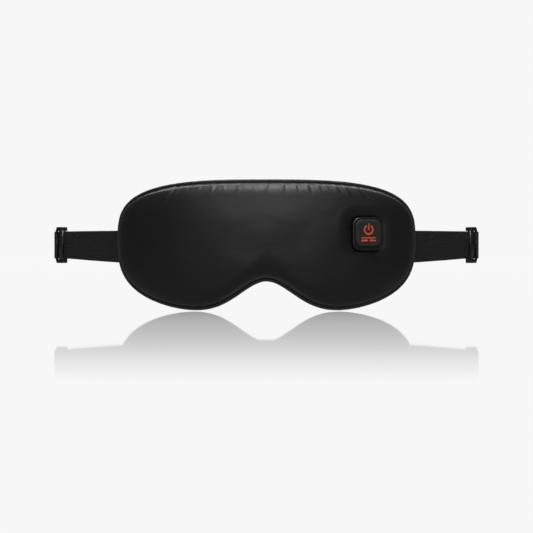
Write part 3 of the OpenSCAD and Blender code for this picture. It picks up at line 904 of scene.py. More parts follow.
@dataclass(frozen=True)
class ControlPlace:
    """Where the control module sits, and how its face is sized."""

    x: float = 69.5
    z: float = 8.0
    bezel_w: float = 24.0
    bezel_h: float = 24.3
    button_w: float = 20.2
    button_h: float = 19.8
    button_lift: float = 0.7
    corner: float = 6.0
    bezel_front: float = -13.2
    bezel_step: float = -11.8
    housing_w: float = 28.0
    housing_front: float = -6.8
    housing_split: float = -5.6
    button_front: float = -14.4
    plunger_front: float = -8.0
    skirt_t: float = 0.8
    skirt_gap: float = 0.05
    button_corner: float = 5.0
    rim_r: float = 0.9

    def off_edge(self, across: float, up: float) -> float:
        """Distance of a place on the cover from the bezel's edge, negative inside it."""
        qx = abs(across) - (self.bezel_w / 2 - self.corner)
        qz = abs(up) - (self.bezel_h / 2 - self.corner)
        return math.hypot(max(qx, 0), max(qz, 0)) + min(max(qx, qz), 0.0) - self.corner


@dataclass(frozen=True)
class Dimple:
    """How the cover sinks in round the control module, by distance from the bezel's edge."""

    end: float = 16.0
    sink: float = 1.5
    inner_sink: float = 0.9
    width: float = 4.4
    inner_width: float = 1.6
    fall: float = 1.6
    lean_w: float = 12.0
    trench: float = 1.1
    trench_w: float = 0.9
    ridge: float = 0.35
    ridge_at: float = 8.5
    ridge_w: float = 3.0
    folds: int = 7
    fold_turn: float = 0.8
    fold_h: float = 0.10
    fold_at: float = 2.5

    def rise(self, across: float, up: float, off: float) -> float:
        """How far it lifts the cover, below zero where it sinks.

        Args:
            across: Distance to the right of the module's middle, along the cover.
            up: Distance above its middle.
            off: Distance from the bezel's edge.

        Returns:
            The change in depth.
        """
        if off >= self.end:
            return 0.0
        outside = max(off, 0.0)
        lean = 0.5 - 0.5 * max(-1.0, min(1.0, across / self.lean_w))
        sink, width = self.sink + self.inner_sink * lean, self.width + self.inner_width * lean
        folds = math.sin(self.folds * math.atan2(up, across) + self.fold_turn)
        return (
            -sink * math.exp(-((outside / width) ** self.fall))
            - self.trench * bell(outside, self.trench_w)
            + self.ridge * bell(outside - self.ridge_at, self.ridge_w)
            + self.fold_h * folds * bell(outside - self.fold_at, self.fold_at)
        )


# ---------------------------------------------------------------- the padded mask


@dataclass
class PaddedMask:
    """Front cover, lining, piping, seam stitches and the foam inside."""

    form: MaskForm
    control: ControlPlace
    dimple: Dimple = Dimple()
    around: int = 560
    front_rings: int = 72
    rear_rings: int = 48
    skin_t: float = 0.8
    piping_r: float = 1.3
    stitch_mm: float = 2.6
    stitch_size: tuple[float, float, float] = (0.85, 0.17, 0.17)
    stitch_inset: float = 0.9
    stitch_lift: float = 1.15
    groove: float = 0.45
    groove_at: float = 1.0
    groove_w: float = 0.6
    low_folds: float = 0.10
    low_folds_w: float = 46.0
    foam_gap: float = 0.3
    bezel_gap: float = 0.3
    grommet_hole: tuple[float, float, float] = (16.2, 10.2, 5.0)
    puckers: tuple[Pucker, ...] = (
        Pucker(-66, -0.55, 1.6, 0.94, 17),
        Pucker(-61, -0.60, 1.3, 0.68, 13),
        Pucker(-55, -0.45, 1.1, 0.38, 9),
        Pucker(-47, -0.25, 1.2, 0.45, 9),
        Pucker(-37, -0.25, 1.3, 0.64, 12),
        Pucker(-30, 0.10, 1.1, 0.38, 8),
        Pucker(-19, -0.15, 1.3, 0.60, 11),
        Pucker(-9, 0.10, 1.1, 0.38, 9),
        Pucker(0, -0.05, 1.2, 0.52, 11),
        Pucker(11, 0.10, 1.3, 0.56, 11),
        Pucker(20, 0.15, 1.1, 0.56, 10),
        Pucker(28, 0.20, 1.3, 0.68, 12),
        Pucker(36, 0.20, 1.2, 0.52, 10),
        Pucker(42, 0.20, 1.0, 0.34, 8),
        Pucker(48, 0.30, 1.3, 0.68, 12),
        Pucker(55, 0.40, 1.2, 0.75, 13),
        Pucker(63, 0.55, 1.6, 0.94, 17),
    )

    def disc(self, rings: int) -> BMesh:
        """A flat unit disc of rings that lie closer together towards its edge."""
        bm = bmesh.new()
        made = bmesh.ops.create_circle(bm, cap_ends=False, segments=self.around, radius=1.0)
        edges = list({e for v in made["verts"] for e in v.link_edges})
        share = 1.0
        for k in range(rings - 1, 0, -1):
            following = math.sin(math.pi / 2 * k / rings)
            inner, edges = extruded(bm, edges)
            bmesh.ops.scale(bm, vec=Vector((following / share,) * 3), verts=inner)
            share = following
        middle = bmesh.ops.contextual_create(bm, geom=edges)["faces"]
        bmesh.ops.poke(bm, faces=middle)
        return bm

    def place_disc(self, bm: BMesh, depth: Callable[[float, float, float, float], float]) -> None:
        """Wraps a unit disc round the face.

        Args:
            bm: The disc.
            depth: Gives the depth in front of the seam from the share of the way to it, the
                flattened x and z, and the distance to it.
        """
        known: dict[float, tuple[float, float, float]] = {}
        for vert in bm.verts:
            share = min(math.hypot(vert.co.x, vert.co.y), 1.0)
            angle = round(math.atan2(vert.co.y, vert.co.x) % TAU, 5)
            if angle not in known:
                known[angle] = (*self.form.outline(angle), self.form.support(angle))
            edge_x, edge_z, support = known[angle]
            x, z = edge_x * share, edge_z * share
            vert.co = self.form.wrap(x, z, depth(share, x, z, (1 - share) * support))

    def front_depth(self, share: float, x: float, z: float, inside: float) -> float:
        """The satin's depth: the pad's swell, gathers, a stitch groove and the button's dimple."""
        form, control = self.form, self.control
        depth = form.edge_t + form.front_crown * form.swell(share)
        lumps = noise.noise(Vector((x / 26, z / 20, 4.0))) * 0.55
        lumps += noise.noise(Vector((x / 9, z / 8, 9.0))) * 0.10
        depth += lumps * min(1.0, inside / 10)
        if z > 0:
            depth += sum(p.rise(x, inside) for p in self.puckers if abs(x - p.x) < 16)
        elif share > 0.8:
            spoke = math.atan2(z, x) * 26
            tension = math.exp(-((abs(x) / self.low_folds_w) ** 4))
            tension *= (share - 0.8) * (1 - share) * 20
            folds = noise.noise(Vector((spoke, share * 2.0, 2.0)))
            depth += self.low_folds * folds * tension
        depth -= self.groove * bell(inside - self.groove_at, self.groove_w)
        across = form.face_r * (math.asin(x / form.face_r) - math.asin(control.x / form.face_r))
        off = control.off_edge(across, z - control.z)
        return depth + self.dimple.rise(across, z - control.z, off)

    def rear_depth(self, share: float, x: float, z: float, inside: float) -> float:
        """The lining's depth behind the seam, as a negative number."""
        form = self.form
        depth = form.edge_t + form.rear_crown * form.swell(share)
        lumps = noise.noise(Vector((x / 24, z / 18, 31.0))) * 0.3
        near_seam = bell(inside, 7)
        ripples = noise.noise(Vector((math.atan2(z, x) * 22, 5.0, 0.0))) * 0.28 * near_seam
        return -(depth + (lumps + ripples) * min(1.0, inside / 5))

    def hole_cutter(
        self, width: float, height: float, radius: float, y0: float, y1: float
    ) -> Object:
        """A rounded plate in the control module's place that cuts a hole."""
        bm = bmesh.new()
        place = self.form.at(self.control.x, self.control.z)
        rounded_plate(bm, width, height, radius, y0, y1, place, 8)
        return finished(bm, "cutter", Finish.inner_plastic)

    def front_cover(self) -> Object:
        """The satin front cover, open where the control module comes through."""
        bm = self.disc(self.front_rings)
        self.place_disc(bm, self.front_depth)
        cover = finished(bm, "satin_cover", Finish.satin_cover)
        thicken(cover, self.skin_t)
        control, gap = self.control, self.bezel_gap
        hole = (control.bezel_w + gap, control.bezel_h + gap, control.corner)
        combine(cover, [self.hole_cutter(*hole, -30, -2)], "DIFFERENCE")
        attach(cover, "root")
        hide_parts("front_cover")
        return cover

    def rear_lining(self) -> Object:
        """The soft lining, open round the charging socket's grommet."""
        bm = self.disc(self.rear_rings)
        self.place_disc(bm, self.rear_depth)
        lining = finished(bm, "soft_lining", Finish.soft_lining)
        thicken(lining, self.skin_t)
        combine(lining, [self.hole_cutter(*self.grommet_hole, 3, 20)], "DIFFERENCE")
        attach(lining, "root")
        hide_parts("rear_lining")
        return lining

    def seam_spots(self, inset: float, depth: float, count: int) -> list[Spot]:
        """Places round the seam with the directions that point out of it and forwards."""
        places = []
        step = 1e-3
        for k in range(count):
            angle = TAU * k / count
            x, z = self.form.outline(angle)
            ahead = self.form.outline((angle + step) % TAU)
            behind = self.form.outline((angle - step) % TAU)
            run = Vector((ahead[0] - behind[0], ahead[1] - behind[1])).normalized()
            spot = self.form.wrap(x + inset * run.y, z - inset * run.x, depth)
            further = self.form.wrap(x + (inset + 1) * run.y, z - (inset + 1) * run.x, depth)
            nearer = self.form.wrap(x + inset * run.y, z - inset * run.x, depth + 1)
            places.append((spot, (further - spot).normalized(), (nearer - spot).normalized()))
        return places

    def piping(self) -> Object:
        """The corded edge round the seam."""
        bm = bmesh.new()
        spots = self.seam_spots(self.piping_r * 0.86, 0.0, 520)
        wavy = [
            (spot + out * 0.10 * noise.noise(spot * 0.30), out, up) for spot, out, up in spots
        ]
        sweep(bm, round_section(self.piping_r, 14), wavy, closed=True)
        cord = finished(bm, "edge_piping_cord", Finish.piping_fabric)
        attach(cord, "root")
        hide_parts("edge_piping")
        return cord

    def seam_stitches(self) -> Object:
        """A row of stitches just inside the piping."""
        bm = bmesh.new()
        spots = self.seam_spots(-self.stitch_inset, self.stitch_lift, 900)
        gone, last = 0.0, spots[0][0]
        for index, (spot, out, up) in enumerate(spots):
            gone += (spot - last).length
            last = spot
            if gone < self.stitch_mm:
                continue
            gone = 0.0
            along = (spots[(index + 1) % len(spots)][0] - spot).normalized()
            stitch(bm, spot, (along, out, up), self.stitch_size)
        thread = finished(bm, "seam_stitches", Finish.thread)
        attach(thread, "root")
        return thread

    def under_cover(self) -> Object:
        """A solid that ends just under the front cover, to trim the foam to it."""
        bm = self.disc(self.front_rings // 2)
        under = self.skin_t + self.foam_gap
        self.place_disc(bm, lambda *place: self.front_depth(*place) - under)
        back, _ = extruded(bm, [e for e in bm.edges if e.is_boundary])
        bmesh.ops.translate(bm, vec=(0, 60, 0), verts=back)
        rim = [e for e in bm.edges if e.is_boundary]
        bmesh.ops.contextual_create(bm, geom=rim)
        return finished(bm, "under_cover", Finish.foam)

    def foam(self) -> list[Object]:
        """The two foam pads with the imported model's pockets, the front one trimmed to the cover."""
        pads = []
        for node in ("front_padding", "rear_padding"):
            bm = bmesh.new()
            bm.from_mesh(bpy.data.objects[node].data)
            bmesh.ops.scale(bm, vec=Vector((1 / MM,) * 3), verts=bm.verts)
            bmesh.ops.remove_doubles(bm, verts=bm.verts, dist=1e-3)
            pad = finished(bm, node.replace("padding", "foam"), Finish.foam, smooth=False)
            if node == "front_padding":
                combine(pad, [self.under_cover()], "INTERSECT")
            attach(pad, "root")
            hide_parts(node)
            pads.append(pad)
        return pads

    def build(self) -> list[Object]:
        """Makes every soft piece of the mask."""
        shells = [self.front_cover(), self.rear_lining()]
        return [*shells, self.piping(), self.seam_stitches(), *self.foam()]


# ---------------------------------------------------------------- the strap


@dataclass(frozen=True)
class Bend:
    """A place that the strap bends round; the radius is positive where it turns left."""

    place: Vector
    radius: float


@dataclass
class HeadStrap:
    """The elastic: a head loop and two inner layers, with the keepers and the sliders."""

    form: MaskForm
    width: float = 22.0
    thick: float = 1.0
    leave_angle: float = 48.0
    reach: float = 88.5
    behind: float = 26.0
    droop_mm: float = 7.5
    bar_pitch: float = 3.9
    end_bar_r: float = 1.0
    mid_bar_r: float = 0.8
    rail_h: float = 3.2
    fit_gap: float = 0.3
    keeper_w: float = 8.0
    keeper_t: float = 1.2
    keeper_foot: float = 3.0
    bend_r: float = 20.0
    back_bend_r: float = 10.0
    back_r: float = 450.0
    sewn_len: float = 9.0
    sewn_bend_r: float = 2.0
    sewn_gap: float = 0.1
    leave_x: float = 6.0
    keeper_lip: float = 2.0
    slider_lead: float = 2.0
    travel: float = 45.0
    ribs: int = 15
    rib_depth: float = 0.22
    edge_margin: float = 0.25
    tack_size: tuple[float, float, float] = (1.5, 0.2, 0.14)
    tack_count: int = 34
    lug_slope: float = 1.7
    lug_back: float = 3.0
    lug_round: float = 0.4
    flat_bar_round: float = 0.8
    keeper_turn: int = 3
    route: list[Bend] = field(init=False)

    def __post_init__(self) -> None:
        """Works out the strap's route from its sizes."""
        form = self.form
        angle = math.radians(self.leave_angle)
        self.along = Vector((math.cos(angle), math.sin(angle)))
        self.front = Vector((math.sin(angle), -math.cos(angle)))
        self.keeper_x = 0.9 * form.half_w
        lip = (self.keeper_x - self.keeper_w / 2 - self.keeper_lip) / form.half_w
        self.keeper_depth = form.rear_crown * form.swell(lip) + form.edge_t
        lane = self.keeper_depth + self.fit_gap + self.thick / 2
        self.keeper_mid = lane + self.thick / 2 + self.sewn_gap + self.keeper_t / 2
        turn_r = self.keeper_mid - lane
        self.loop_r = self.mid_bar_r + self.sewn_gap + self.thick / 2
        self.end_bar_y = -(self.thick / 2 + self.fit_gap + self.end_bar_r)
        self.mid_bar_y = self.thick + self.fit_gap + self.loop_r
        self.slot_half = self.width / 2 + 0.3
        bend_at = self.on_plan(self.leave_x, lane + self.bend_r)
        self.slider_at = bend_at + self.bend_r * self.front + self.reach * self.along
        behind = 2 * self.thick + self.fit_gap + self.sewn_gap + self.sewn_bend_r
        lead = self.bar_pitch + self.end_bar_r + self.slider_lead
        back_bend = self.slider_at + lead * self.along - self.back_bend_r * self.front
        keeper_end = self.on_plan(-(self.keeper_w - self.keeper_t) / 2, self.keeper_mid)
        sewn_bend = self.slider_at - self.sewn_len * self.along - behind * self.front
        self.route = [
            Bend(sewn_bend, self.sewn_bend_r),
            Bend(self.slider_at - self.mid_bar_y * self.front, -self.loop_r),
            Bend(bend_at, -(self.bend_r - 2 * turn_r)),
            Bend(keeper_end, turn_r),
            Bend(bend_at, self.bend_r),
            Bend(back_bend, self.back_bend_r),
            Bend(Vector((0, self.slider_at.y + self.behind - self.back_r)), self.back_r),
        ]

    def on_plan(self, x: float, y: float) -> Vector:
        """A place in the keeper's frame, seen from above."""
        turn = math.asin(self.keeper_x / self.form.face_r)
        reach, cos, sin = y - self.form.face_r, math.cos(turn), math.sin(turn)
        return Vector((x * cos - reach * sin, self.form.centre_y + x * sin + reach * cos))

    def heading_into(self, index: int) -> float:
        """The strap's heading as it reaches a bend, in radians."""
        if index == 0:
            return math.radians(self.leave_angle)
        a, b = self.route[index - 1], self.route[index]
        run = b.place - a.place
        return math.atan2(run.y, run.x) - math.asin((b.radius - a.radius) / run.length)

    def bend_points(self, index: int) -> list[Vector]:
        """Middle-line points round one bend."""
        bend = self.route[index]
        side = 1 if bend.radius > 0 else -1
        start = self.heading_into(index)
        end = math.pi if index == len(self.route) - 1 else self.heading_into(index + 1)
        turn = side * ((side * (end - start)) % TAU)
        step = math.radians(12 if abs(bend.radius) < 5 else 4 if abs(bend.radius) < 50 else 0.8)
        count = max(1, math.ceil(abs(turn) / step))
        angles = [start + turn * k / count - side * math.pi / 2 for k in range(count + 1)]
        return [
            bend.place + abs(bend.radius) * Vector((math.cos(a), math.sin(a))) for a in angles
        ]

    def droop(self, spot: Vector) -> float:
        """How far the back run hangs at a place seen from above."""
        if spot.y <= self.slider_at.y:
            return 0.0
        return -self.droop_mm * max(0.0, 1 - (spot.x / self.slider_at.x) ** 2)

    def spots(self, line: Sequence[Vector], step: float) -> list[Spot]:
        """Rings for an elastic run along a line seen from above."""
        points = resampled([p.to_3d() for p in line], step)
        rings = []
        for index, point in enumerate(points):
            ahead, behind = points[min(index + 1, len(points) - 1)], points[max(index - 1, 0)]
            run = (ahead - behind).normalized()
            out = Vector((-run.y, run.x, 0))
            ripple = 0.05 * noise.noise(point * 0.12)
            rings.append((point + (self.droop(point) + ripple) * UP, out, UP))
        return rings

    def section(self) -> list[SectionPoint]:
        """The elastic's ribbed section: lengthwise ribs on both faces and thin woven edges."""
        per_rib, depth, margin = 4, self.rib_depth, self.edge_margin
        count = self.ribs * per_rib
        edge = self.width / 2
        face = []
        for k in range(count + 1):
            up = -edge + margin + (self.width - 2 * margin) * k / count
            crest = 0.5 - 0.5 * math.cos(TAU * k / per_rib)
            taper = min(1.0, (edge - abs(up)) / 0.8)
            out = self.thick / 2 * (0.55 + 0.45 * taper) - depth * (1 - crest) * taper
            face.append((out, up, crest))
        back = [(-out, up, crest) for out, up, crest in reversed(face)]
        return [*face, (0.0, edge, 0.4), *back, (0.0, -edge, 0.4)]

    def elastic(self, name: str, line: Sequence[Vector], step: float = 1.6) -> Object:
        """A run of elastic on edge along a line seen from above."""
        bm = bmesh.new()
        sweep(bm, self.section(), self.spots(line, step))
        return finished(bm, name, Finish.elastic)

    def flipped(self, piece: Object, name: str) -> Object:
        """A mirror image of a piece, for the left side."""
        bm = bmesh.new()
        bm.from_mesh(piece.data)
        bmesh.ops.scale(bm, vec=Vector((-1 / MM, 1 / MM, 1 / MM)), verts=bm.verts)
        finish = next(f for f in Finish if f.value.name == piece.data.materials[0].name)
        return finished(bm, name, finish)

    def head_loop(self) -> Object:
        """The run from one keeper round the back of the head to the other."""
        inner = self.bend_points(self.keeper_turn - 1)[-1]
        later = range(self.keeper_turn, len(self.route))
        half = [inner] + [p for i in later for p in self.bend_points(i)]
        line = half + [Vector((-p.x, p.y)) for p in reversed(half[:-1])]
        loop = self.elastic("head_loop", line, 1.8)
        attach(loop, "root")
        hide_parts("head_strap")
        return loop

    def inner_layer(self) -> list[Object]:
        """The layers from the sliders back to the keepers."""
        loop_end = self.bend_points(1)
        bend = self.bend_points(2)
        start = loop_end[-1] - (self.sewn_len + self.sewn_gap) * self.along
        line = [start, *bend[:-1], bend[-1].lerp(bend[-2], 0.05)]
        right = self.elastic("right_inner_layer", line)
        left = self.flipped(right, "left_inner_layer")
        length = (bend[0] - start).length
        for side, piece in ((1, right), (-1, left)):
            joint = ("right" if side > 0 else "left") + "_slider_slide"
            axis = (side * self.along.x, self.along.y, 0)
            anchor = (side * bend[0].x * MM, bend[0].y * MM, 0)
            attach(piece, "root")
            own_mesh(piece)
        return [right, left]

    def sewn_loops(self) -> list[Object]:
        """The sewn loops round the sliders' middle bars, with their bar tacks."""
        ends = self.bend_points(0) + self.bend_points(1)
        line = [*ends, ends[-1] - self.sewn_len * self.along]
        right = self.elastic("right_sewn_loop", line, 1.2)
        left = self.flipped(right, "left_sewn_loop")
        tacks = self.bar_tacks()
        for piece, tack, side in ((right, tacks[0], "right"), (left, tacks[1], "left")):
            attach(piece, side + "_adjuster")
            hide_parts(side + "_strap_end")
            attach(tack, side + "_adjuster")
        return [right, left, *tacks]

    def bar_tacks(self) -> list[Object]:
        """Dense zigzag stitching across the sewn ends."""
        bm = bmesh.new()
        middle = self.slider_at - (self.sewn_len - 3.2) * self.along
        behind = -self.front * (2.5 * self.thick + self.fit_gap + self.sewn_gap)
        at = (middle + behind).to_3d()
        along, out = self.along.to_3d(), (-self.front).to_3d()
        for k in range(self.tack_count):
            lean = 1 if k % 2 else -1
            up = (self.width - 4) * (k / (self.tack_count - 1) - 0.5)
            axis = (along + UP * 0.28 * lean).normalized()
            spot = at + UP * up + out * 0.05
            stitch(bm, spot, (axis, out.cross(axis), out), self.tack_size)
        right = finished(bm, "right_bar_tack", Finish.thread)
        return [right, self.flipped(right, "left_bar_tack")]

    def keepers(self) -> list[Object]:
        """Webbing loops sewn on the lining, which the strap folds over."""
        place = self.form.at(self.keeper_x, 0)
        half_z = self.width / 2 + 0.8
        bm = bmesh.new()
        tall = 2 * (half_z + self.keeper_foot)
        near, far = self.keeper_mid - self.keeper_t / 2, self.keeper_mid + self.keeper_t / 2
        rounded_plate(bm, self.keeper_w, tall, 1.2, near, far, place, 4)
        foot = (self.keeper_w - self.keeper_t, self.keeper_foot, 0.6)
        foot_y = (self.keeper_depth - 0.9, self.keeper_mid)
        for side in (-1, 1):
            up = Matrix.Translation((0, 0, side * (half_z + self.keeper_foot / 2)))
            rounded_plate(bm, *foot, *foot_y, place @ up, 3)
        right = finished(bm, "right_keeper_loop", Finish.piping_fabric)
        soften(right, 0.4)
        left = self.flipped(right, "left_keeper_loop")
        for piece, side in ((right, "right"), (left, "left")):
            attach(piece, "root")
            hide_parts(side + "_strap_keeper")
        return [right, left]

    def sliders(self) -> list[Object]:
        """The three-bar sliders: two bars in front of the elastic and one behind it."""
        turn = Matrix.Rotation(math.radians(self.leave_angle), 4, "Z")
        place = Matrix.Translation(self.slider_at.to_3d()) @ turn
        half_l = self.bar_pitch + self.end_bar_r
        top = self.slot_half + self.rail_h
        bm = bmesh.new()
        reach = self.slot_half + 0.6
        for radius, x, y in (
            (self.end_bar_r, self.bar_pitch, self.end_bar_y),
            (self.mid_bar_r, 0, self.mid_bar_y),
        ):
            rod(bm, radius, Vector((x, y, -reach)), Vector((x, y, reach)), 28)
        flat = bmesh.ops.create_cube(bm, size=1.0)["verts"]
        size = Matrix.Diagonal((half_l - 0.2, 2 * self.end_bar_r, 2 * reach, 1))
        spot = Matrix.Translation((-(half_l + 0.2) / 2, self.end_bar_y, 0))
        bmesh.ops.transform(bm, matrix=spot @ size, verts=flat)
        edges = {e for v in flat for e in v.link_edges}
        long = [e for e in edges if abs(e.verts[0].co.z - e.verts[1].co.z) > 1]
        bevelled(bm, long, self.flat_bar_round, 6)
        front_y = self.end_bar_y - self.end_bar_r
        back_y = self.mid_bar_y + self.mid_bar_r + 0.2
        for side in (-1, 1):
            made = bmesh.ops.create_cube(bm, size=1.0)["verts"]
            for vert in made:
                high = vert.co.z * side > 0
                deep = vert.co.y > 0
                long_half = half_l - (self.lug_slope if high else 0.0)
                if deep:
                    long_half = min(long_half, self.lug_back)
                x = math.copysign(long_half, vert.co.x)
                up = top if high else self.slot_half
                vert.co = Vector((x, back_y if deep else front_y, side * up))
            bevelled(bm, {e for v in made for e in v.link_edges}, self.lug_round, 4)
        bmesh.ops.transform(bm, matrix=place, verts=bm.verts)
        right = finished(bm, "right_slider_frame", Finish.slider_plastic)
        left = self.flipped(right, "left_slider_frame")
        for piece, side in ((right, "right"), (left, "left")):
            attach(piece, side + "_adjuster")
            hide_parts(side + "_slider")
        return [right, left]

    def build(self) -> list[Object]:
        """Makes the strap and what it runs through."""
        return [
            self.head_loop(),
            *self.inner_layer(),
            *self.sewn_loops(),
            *self.keepers(),
            *self.sliders(),
        ]


# ---------------------------------------------------------------- the control module


@dataclass
class ControlModule:
    """Bezel, button and the marks on it."""

    form: MaskForm
    control: ControlPlace
    icon_r: float = 3.9
    icon_stroke: float = 1.3
    icon_z: float = 2.4
    icon_gap: float = 38.0
    icon_bar: tuple[float, float, float] = (0.3, 2.0, 4.1)
    icon_bar_w: float = 1.1
    ink_t: float = 0.10

    def place(self, lift: float = 0.0) -> Matrix:
        """The module's frame, or the button's when lifted."""
        return self.form.at(self.control.x, self.control.z + lift)

    def bezel(self) -> Object:
        """The rounded frame round the button, with its flange under the cover."""
        c = self.control
        bm = bmesh.new()
        depths = (c.bezel_front, c.housing_front + 0.3)
        rounded_plate(bm, c.bezel_w, c.bezel_h, c.corner, *depths, self.place(), 12, c.rim_r)
        bezel = finished(bm, "button_bezel", Finish.bezel_plastic)
        flange = (c.housing_w, c.housing_w, 5, c.housing_front, c.housing_split)
        opening = (c.button_w + 0.5, c.button_h + 0.5, 5, c.bezel_front - 2, c.bezel_step + 1)
        under = (c.button_w + 2.0, c.button_h + 1.8, 5, c.bezel_step, c.housing_split + 1)
        for plate, place, steps, operation in (
            (flange, self.place(), 8, "UNION"),
            (opening, self.place(c.button_lift), 12, "DIFFERENCE"),
            (under, self.place(c.button_lift), 12, "DIFFERENCE"),
        ):
            other = bmesh.new()
            rounded_plate(other, *plate, place, steps)
            combine(bezel, [finished(other, "other", Finish.bezel_plastic)], operation)
        soften(bezel, 0.22)
        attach(bezel, "root")
        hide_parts("control_bezel")
        return bezel

    def button(self) -> Object:
        """The raised button: soft rounded rim, slightly dished face and its skirt."""
        c = self.control
        bm = bmesh.new()
        skirt = (c.bezel_step + c.skirt_gap, c.bezel_step + c.skirt_gap + c.skirt_t)
        flat, corner = Matrix.Identity(4), c.button_corner
        cap = (c.button_w, c.button_h, corner, c.button_front, skirt[1])
        rounded_plate(bm, *cap, flat, 12, c.rim_r)
        for inset, rise in ((0.8, 0.0), (1.6, -0.10)):
            fronts = (f for f in bm.faces if f.normal.y < -0.99)
            face = max(fronts, key=lambda f: f.calc_area())
            bmesh.ops.inset_region(bm, faces=[face], thickness=inset, depth=rise)
        rounded_plate(bm, c.button_w + 1.4, c.button_h + 1.2, corner, *skirt, flat, 12)
        rod(bm, 1.2, Vector((0, c.bezel_step, 0)), Vector((0, c.plunger_front, 0)), 20)
        bmesh.ops.transform(bm, matrix=self.place(c.button_lift), verts=bm.verts)
        cap = finished(bm, "button_face", Finish.button_silicone)
        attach(cap, "control_button")
        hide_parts("button_cap")
        return cap

    def stroke(self, bm: BMesh, points: Sequence[tuple[float, float]], half: float) -> None:
        """Adds a rounded line of ink along points on the button's face."""
        front = self.control.button_front - 0.02
        line = [Vector((x, front, z)) for x, z in points]
        rings = []
        for index, point in enumerate(line):
            run = (line[min(index + 1, len(line) - 1)] - line[max(index - 1, 0)]).normalized()
            rings.append((point, run.cross(Vector((0, 1, 0))).normalized(), Vector((0, -1, 0))))
        flat = self.ink_t / half
        sweep(bm, [(out, up * flat, crest) for out, up, crest in round_section(half, 12)], rings)
        for end in (line[0], line[-1]):
            made = bmesh.ops.create_uvsphere(bm, u_segments=12, v_segments=8, radius=half)["verts"]
            place = Matrix.Translation(end) @ Matrix.Diagonal((1, flat, 1, 1))
            bmesh.ops.transform(bm, matrix=place, verts=made)

    def dash(self, bm: BMesh, x: float, z: float, width: float, height: float) -> None:
        """Adds one plain printed dash to the button's face."""
        front, place = self.control.button_front, Matrix.Translation((x, 0, z))
        rounded_plate(bm, width, height, 0.18, front - 0.08, front + 0.3, place, 3)

    def power_icon(self) -> Object:
        """The ring with a gap and a bar, in the generic sign for power."""
        bm = bmesh.new()
        radius = self.icon_r - self.icon_stroke / 2
        gap = math.radians(self.icon_gap)
        angles = [math.pi / 2 + gap + (TAU - 2 * gap) * k / 40 for k in range(41)]
        ring = [(radius * math.cos(a), self.icon_z + radius * math.sin(a)) for a in angles]
        self.stroke(bm, ring, self.icon_stroke / 2)
        bar = [(0, self.icon_z + up) for up in self.icon_bar]
        self.stroke(bm, bar, self.icon_bar_w / 2)
        bmesh.ops.transform(bm, matrix=self.place(self.control.button_lift), verts=bm.verts)
        icon = finished(bm, "power_sign", Finish.mark_inlay)
        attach(icon, "control_button")
        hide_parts("power_icon")
        return icon

    def level_marks(self) -> Object:
        """Two rows of plain dashes under the power sign."""
        bm = bmesh.new()
        for k in range(-3, 4):
            self.dash(bm, k * 1.6, -3.6, 1.3, 1.05)
        for side in (-1, 1):
            for k in range(3):
                self.dash(bm, side * (1.4 + k * 1.7), -5.55, 1.5, 1.4)
        bmesh.ops.transform(bm, matrix=self.place(self.control.button_lift), verts=bm.verts)
        marks = finished(bm, "level_dashes", Finish.mark_inlay)
        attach(marks, "control_button")
        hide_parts("level_marks")
        return marks

    def build(self) -> list[Object]:
        """Makes the module's visible pieces."""
        return [self.bezel(), self.button(), self.power_icon(), self.level_marks()]


# ---------------------------------------------------------------- the inner works


@dataclass
class InnerWorks:
    """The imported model's own pieces, dressed in their finishes."""

    def build(self) -> list[Object]:
        """Gives every imported piece its slot's finish."""
        slots = {part["node"]: part["material_slot"] for part in frame["record"]["subparts"]}
        dressed = []
        for node, slot in slots.items():
            piece = bpy.data.objects.get(node)
            if piece is None or piece.type != "MESH" or slot not in Finish.__members__:
                continue
            piece.data.materials.clear()
            piece.data.materials.append(Finish[slot].material)
            dressed.append(piece)
        return dressed


# ---------------------------------------------------------------- camera, floor and light


@dataclass(frozen=True)
class Lamp:
    """A soft rectangular light: where it stands, what it points at, its size and its watts."""

    name: str
    place: tuple[float, float, float]
    aim: tuple[float, float, float]
    size: tuple[float, float]
    power: float

    def build(self) -> None:
        """Puts the light into the scene."""
        data = bpy.data.lights.new(self.name, "AREA")
        data.shape = "RECTANGLE"
        data.size, data.size_y = self.size
        data.energy = self.power
        lamp = add_object(self.name, data)
        lamp.location = self.place
        away = Vector(self.aim) - Vector(self.place)
        lamp.rotation_euler = away.to_track_quat("-Z", "Y").to_euler()


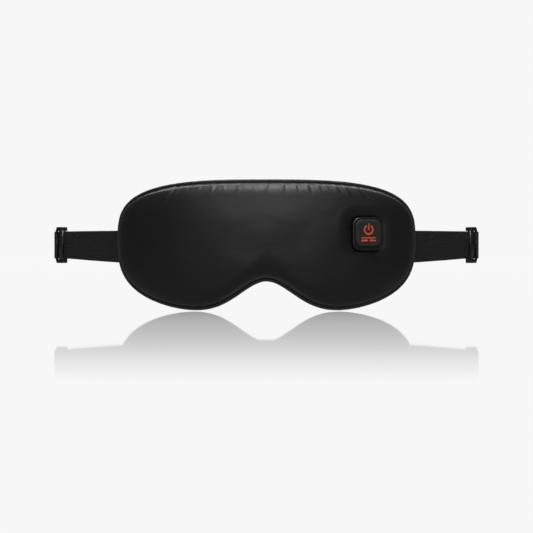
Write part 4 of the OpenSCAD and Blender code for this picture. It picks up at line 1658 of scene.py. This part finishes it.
@dataclass
class Studio:
    """A pale, slightly glossy floor, soft light from above and a level camera in front."""

    distance: float = 1.0
    lens: float = 91.8
    sensor: float = 36.0
    drop: float = -0.0403
    backdrop: tuple = (0.93, 0.93, 0.93)
    ambient: float = 0.045
    backdrop_edge: tuple = (0.93, 0.98)
    floor_half: float = 8.0
    floor_gap: float = 0.0003
    floor_glow: tuple = (0.28, 0.72)
    fade_depth: float = 0.6
    fade: tuple = (
        (0.13, 0.0),
        (0.20, 0.065),
        (0.29, 0.17),
        (0.40, 0.306),
        (0.54, 0.415),
        (0.725, 0.495),
        (0.975, 0.635),
    )
    grazing_range: tuple = (0.74, 0.89, 0.012)
    lamps: tuple[Lamp, ...] = (
        Lamp("top_light", (0.0, -0.10, 0.75), (0, 0.0, 0), (0.30, 0.3), 5.6),
        Lamp("front_light", (0.02, -1.0, 0.46), (0.01, 0, 0), (1.0, 0.55), 4.9),
        Lamp("back_light", (0.0, 1.3, 1.1), (0, 0.05, 0), (1.4, 0.7), 26.0),
    )

    def camera(self) -> None:
        """A camera level with the strap, straight in front of the mask."""
        data = bpy.data.cameras.new("camera")
        data.lens = self.lens
        data.sensor_width = self.sensor
        data.shift_y = self.drop
        camera = add_object("camera", data)
        camera.location = (0, -self.distance, 0)
        camera.rotation_euler = (math.pi / 2, 0, 0)
        bpy.context.scene.camera = camera

    def floor(self) -> None:
        """The floor under the mask, with a mirror image that fades towards the camera."""
        bm = bmesh.new()
        bmesh.ops.create_grid(bm, x_segments=1, y_segments=1, size=self.floor_half)
        bmesh.ops.translate(bm, vec=(0, 0, CAD_BOX[0][2] - self.floor_gap), verts=bm.verts)
        mesh = bpy.data.meshes.new("floor")
        bm.to_mesh(mesh)
        bm.free()
        floor = add_object("floor", mesh)
        tree = Tree("floor_gloss", "MixShader")
        depth = tree.node("TexCoord", out="Object").axis("Y")
        nearness = depth * (1 / self.fade_depth) + 1.0
        share = tree.node("ValToRGB", {"stops": self.fade}, {0: nearness})
        facing = tree.node("LayerWeight", {}, {"Blend": 0.5}, out="Facing")
        start, end, least = self.grazing_range
        inputs = {"Value": facing, "From Min": start, "From Max": end, "To Min": least}
        grazing = tree.node("MapRange", {}, inputs)
        seen = tree.node("LightPath", out="Is Camera Ray")
        glow, more = self.floor_glow
        plain = tree.node("Emission", {}, {"Color": self.backdrop, "Strength": seen * more + glow})
        mirror = tree.node("BsdfGlossy", {}, {"Color": (1.0, 1.0, 1.0), "Roughness": 0.03})
        for index, value in enumerate((share * grazing, plain, mirror)):
            tree.set(tree.shader.inputs[index], value)
        floor.data.materials.append(tree.owner)

    def surroundings(self) -> None:
        """A world that is pale behind the mask and to the camera, and dim everywhere else."""
        tree = Tree("studio", "Background", world=True)
        bpy.context.scene.world = tree.owner
        back = tree.node("TexCoord", out="Generated").axis("Y")
        start, end = self.backdrop_edge
        behind = tree.node("MapRange", {}, {"Value": back, "From Min": start, "From Max": end})
        seen = tree.node("LightPath", out="Is Camera Ray")
        most = seen.math("MAXIMUM", seen, behind)
        level = tree.node("MapRange", {}, {"Value": most, "To Min": self.ambient, "To Max": 1.0})
        tree.surface(Color=self.backdrop, Strength=level)

    def build(self) -> None:
        """Sets up the view and the light."""
        self.camera()
        self.floor()
        for lamp in self.lamps:
            lamp.build()
        self.surroundings()
        bpy.context.scene.view_settings.view_transform = "Standard"


def main() -> None:
    """Builds the view, then each sub-assembly, and reports its pieces."""
    logging.basicConfig(level=logging.INFO, format="%(message)s")
    Studio().build()
    form, control = MaskForm(), ControlPlace()
    mask, module = PaddedMask(form, control), ControlModule(form, control)
    for assembly in (mask, HeadStrap(form), module, InnerWorks()):
        for piece in assembly.build():
            LOG.info("%s: %s", type(assembly).__name__, piece.name)


if __name__ == "__main__":
    main()
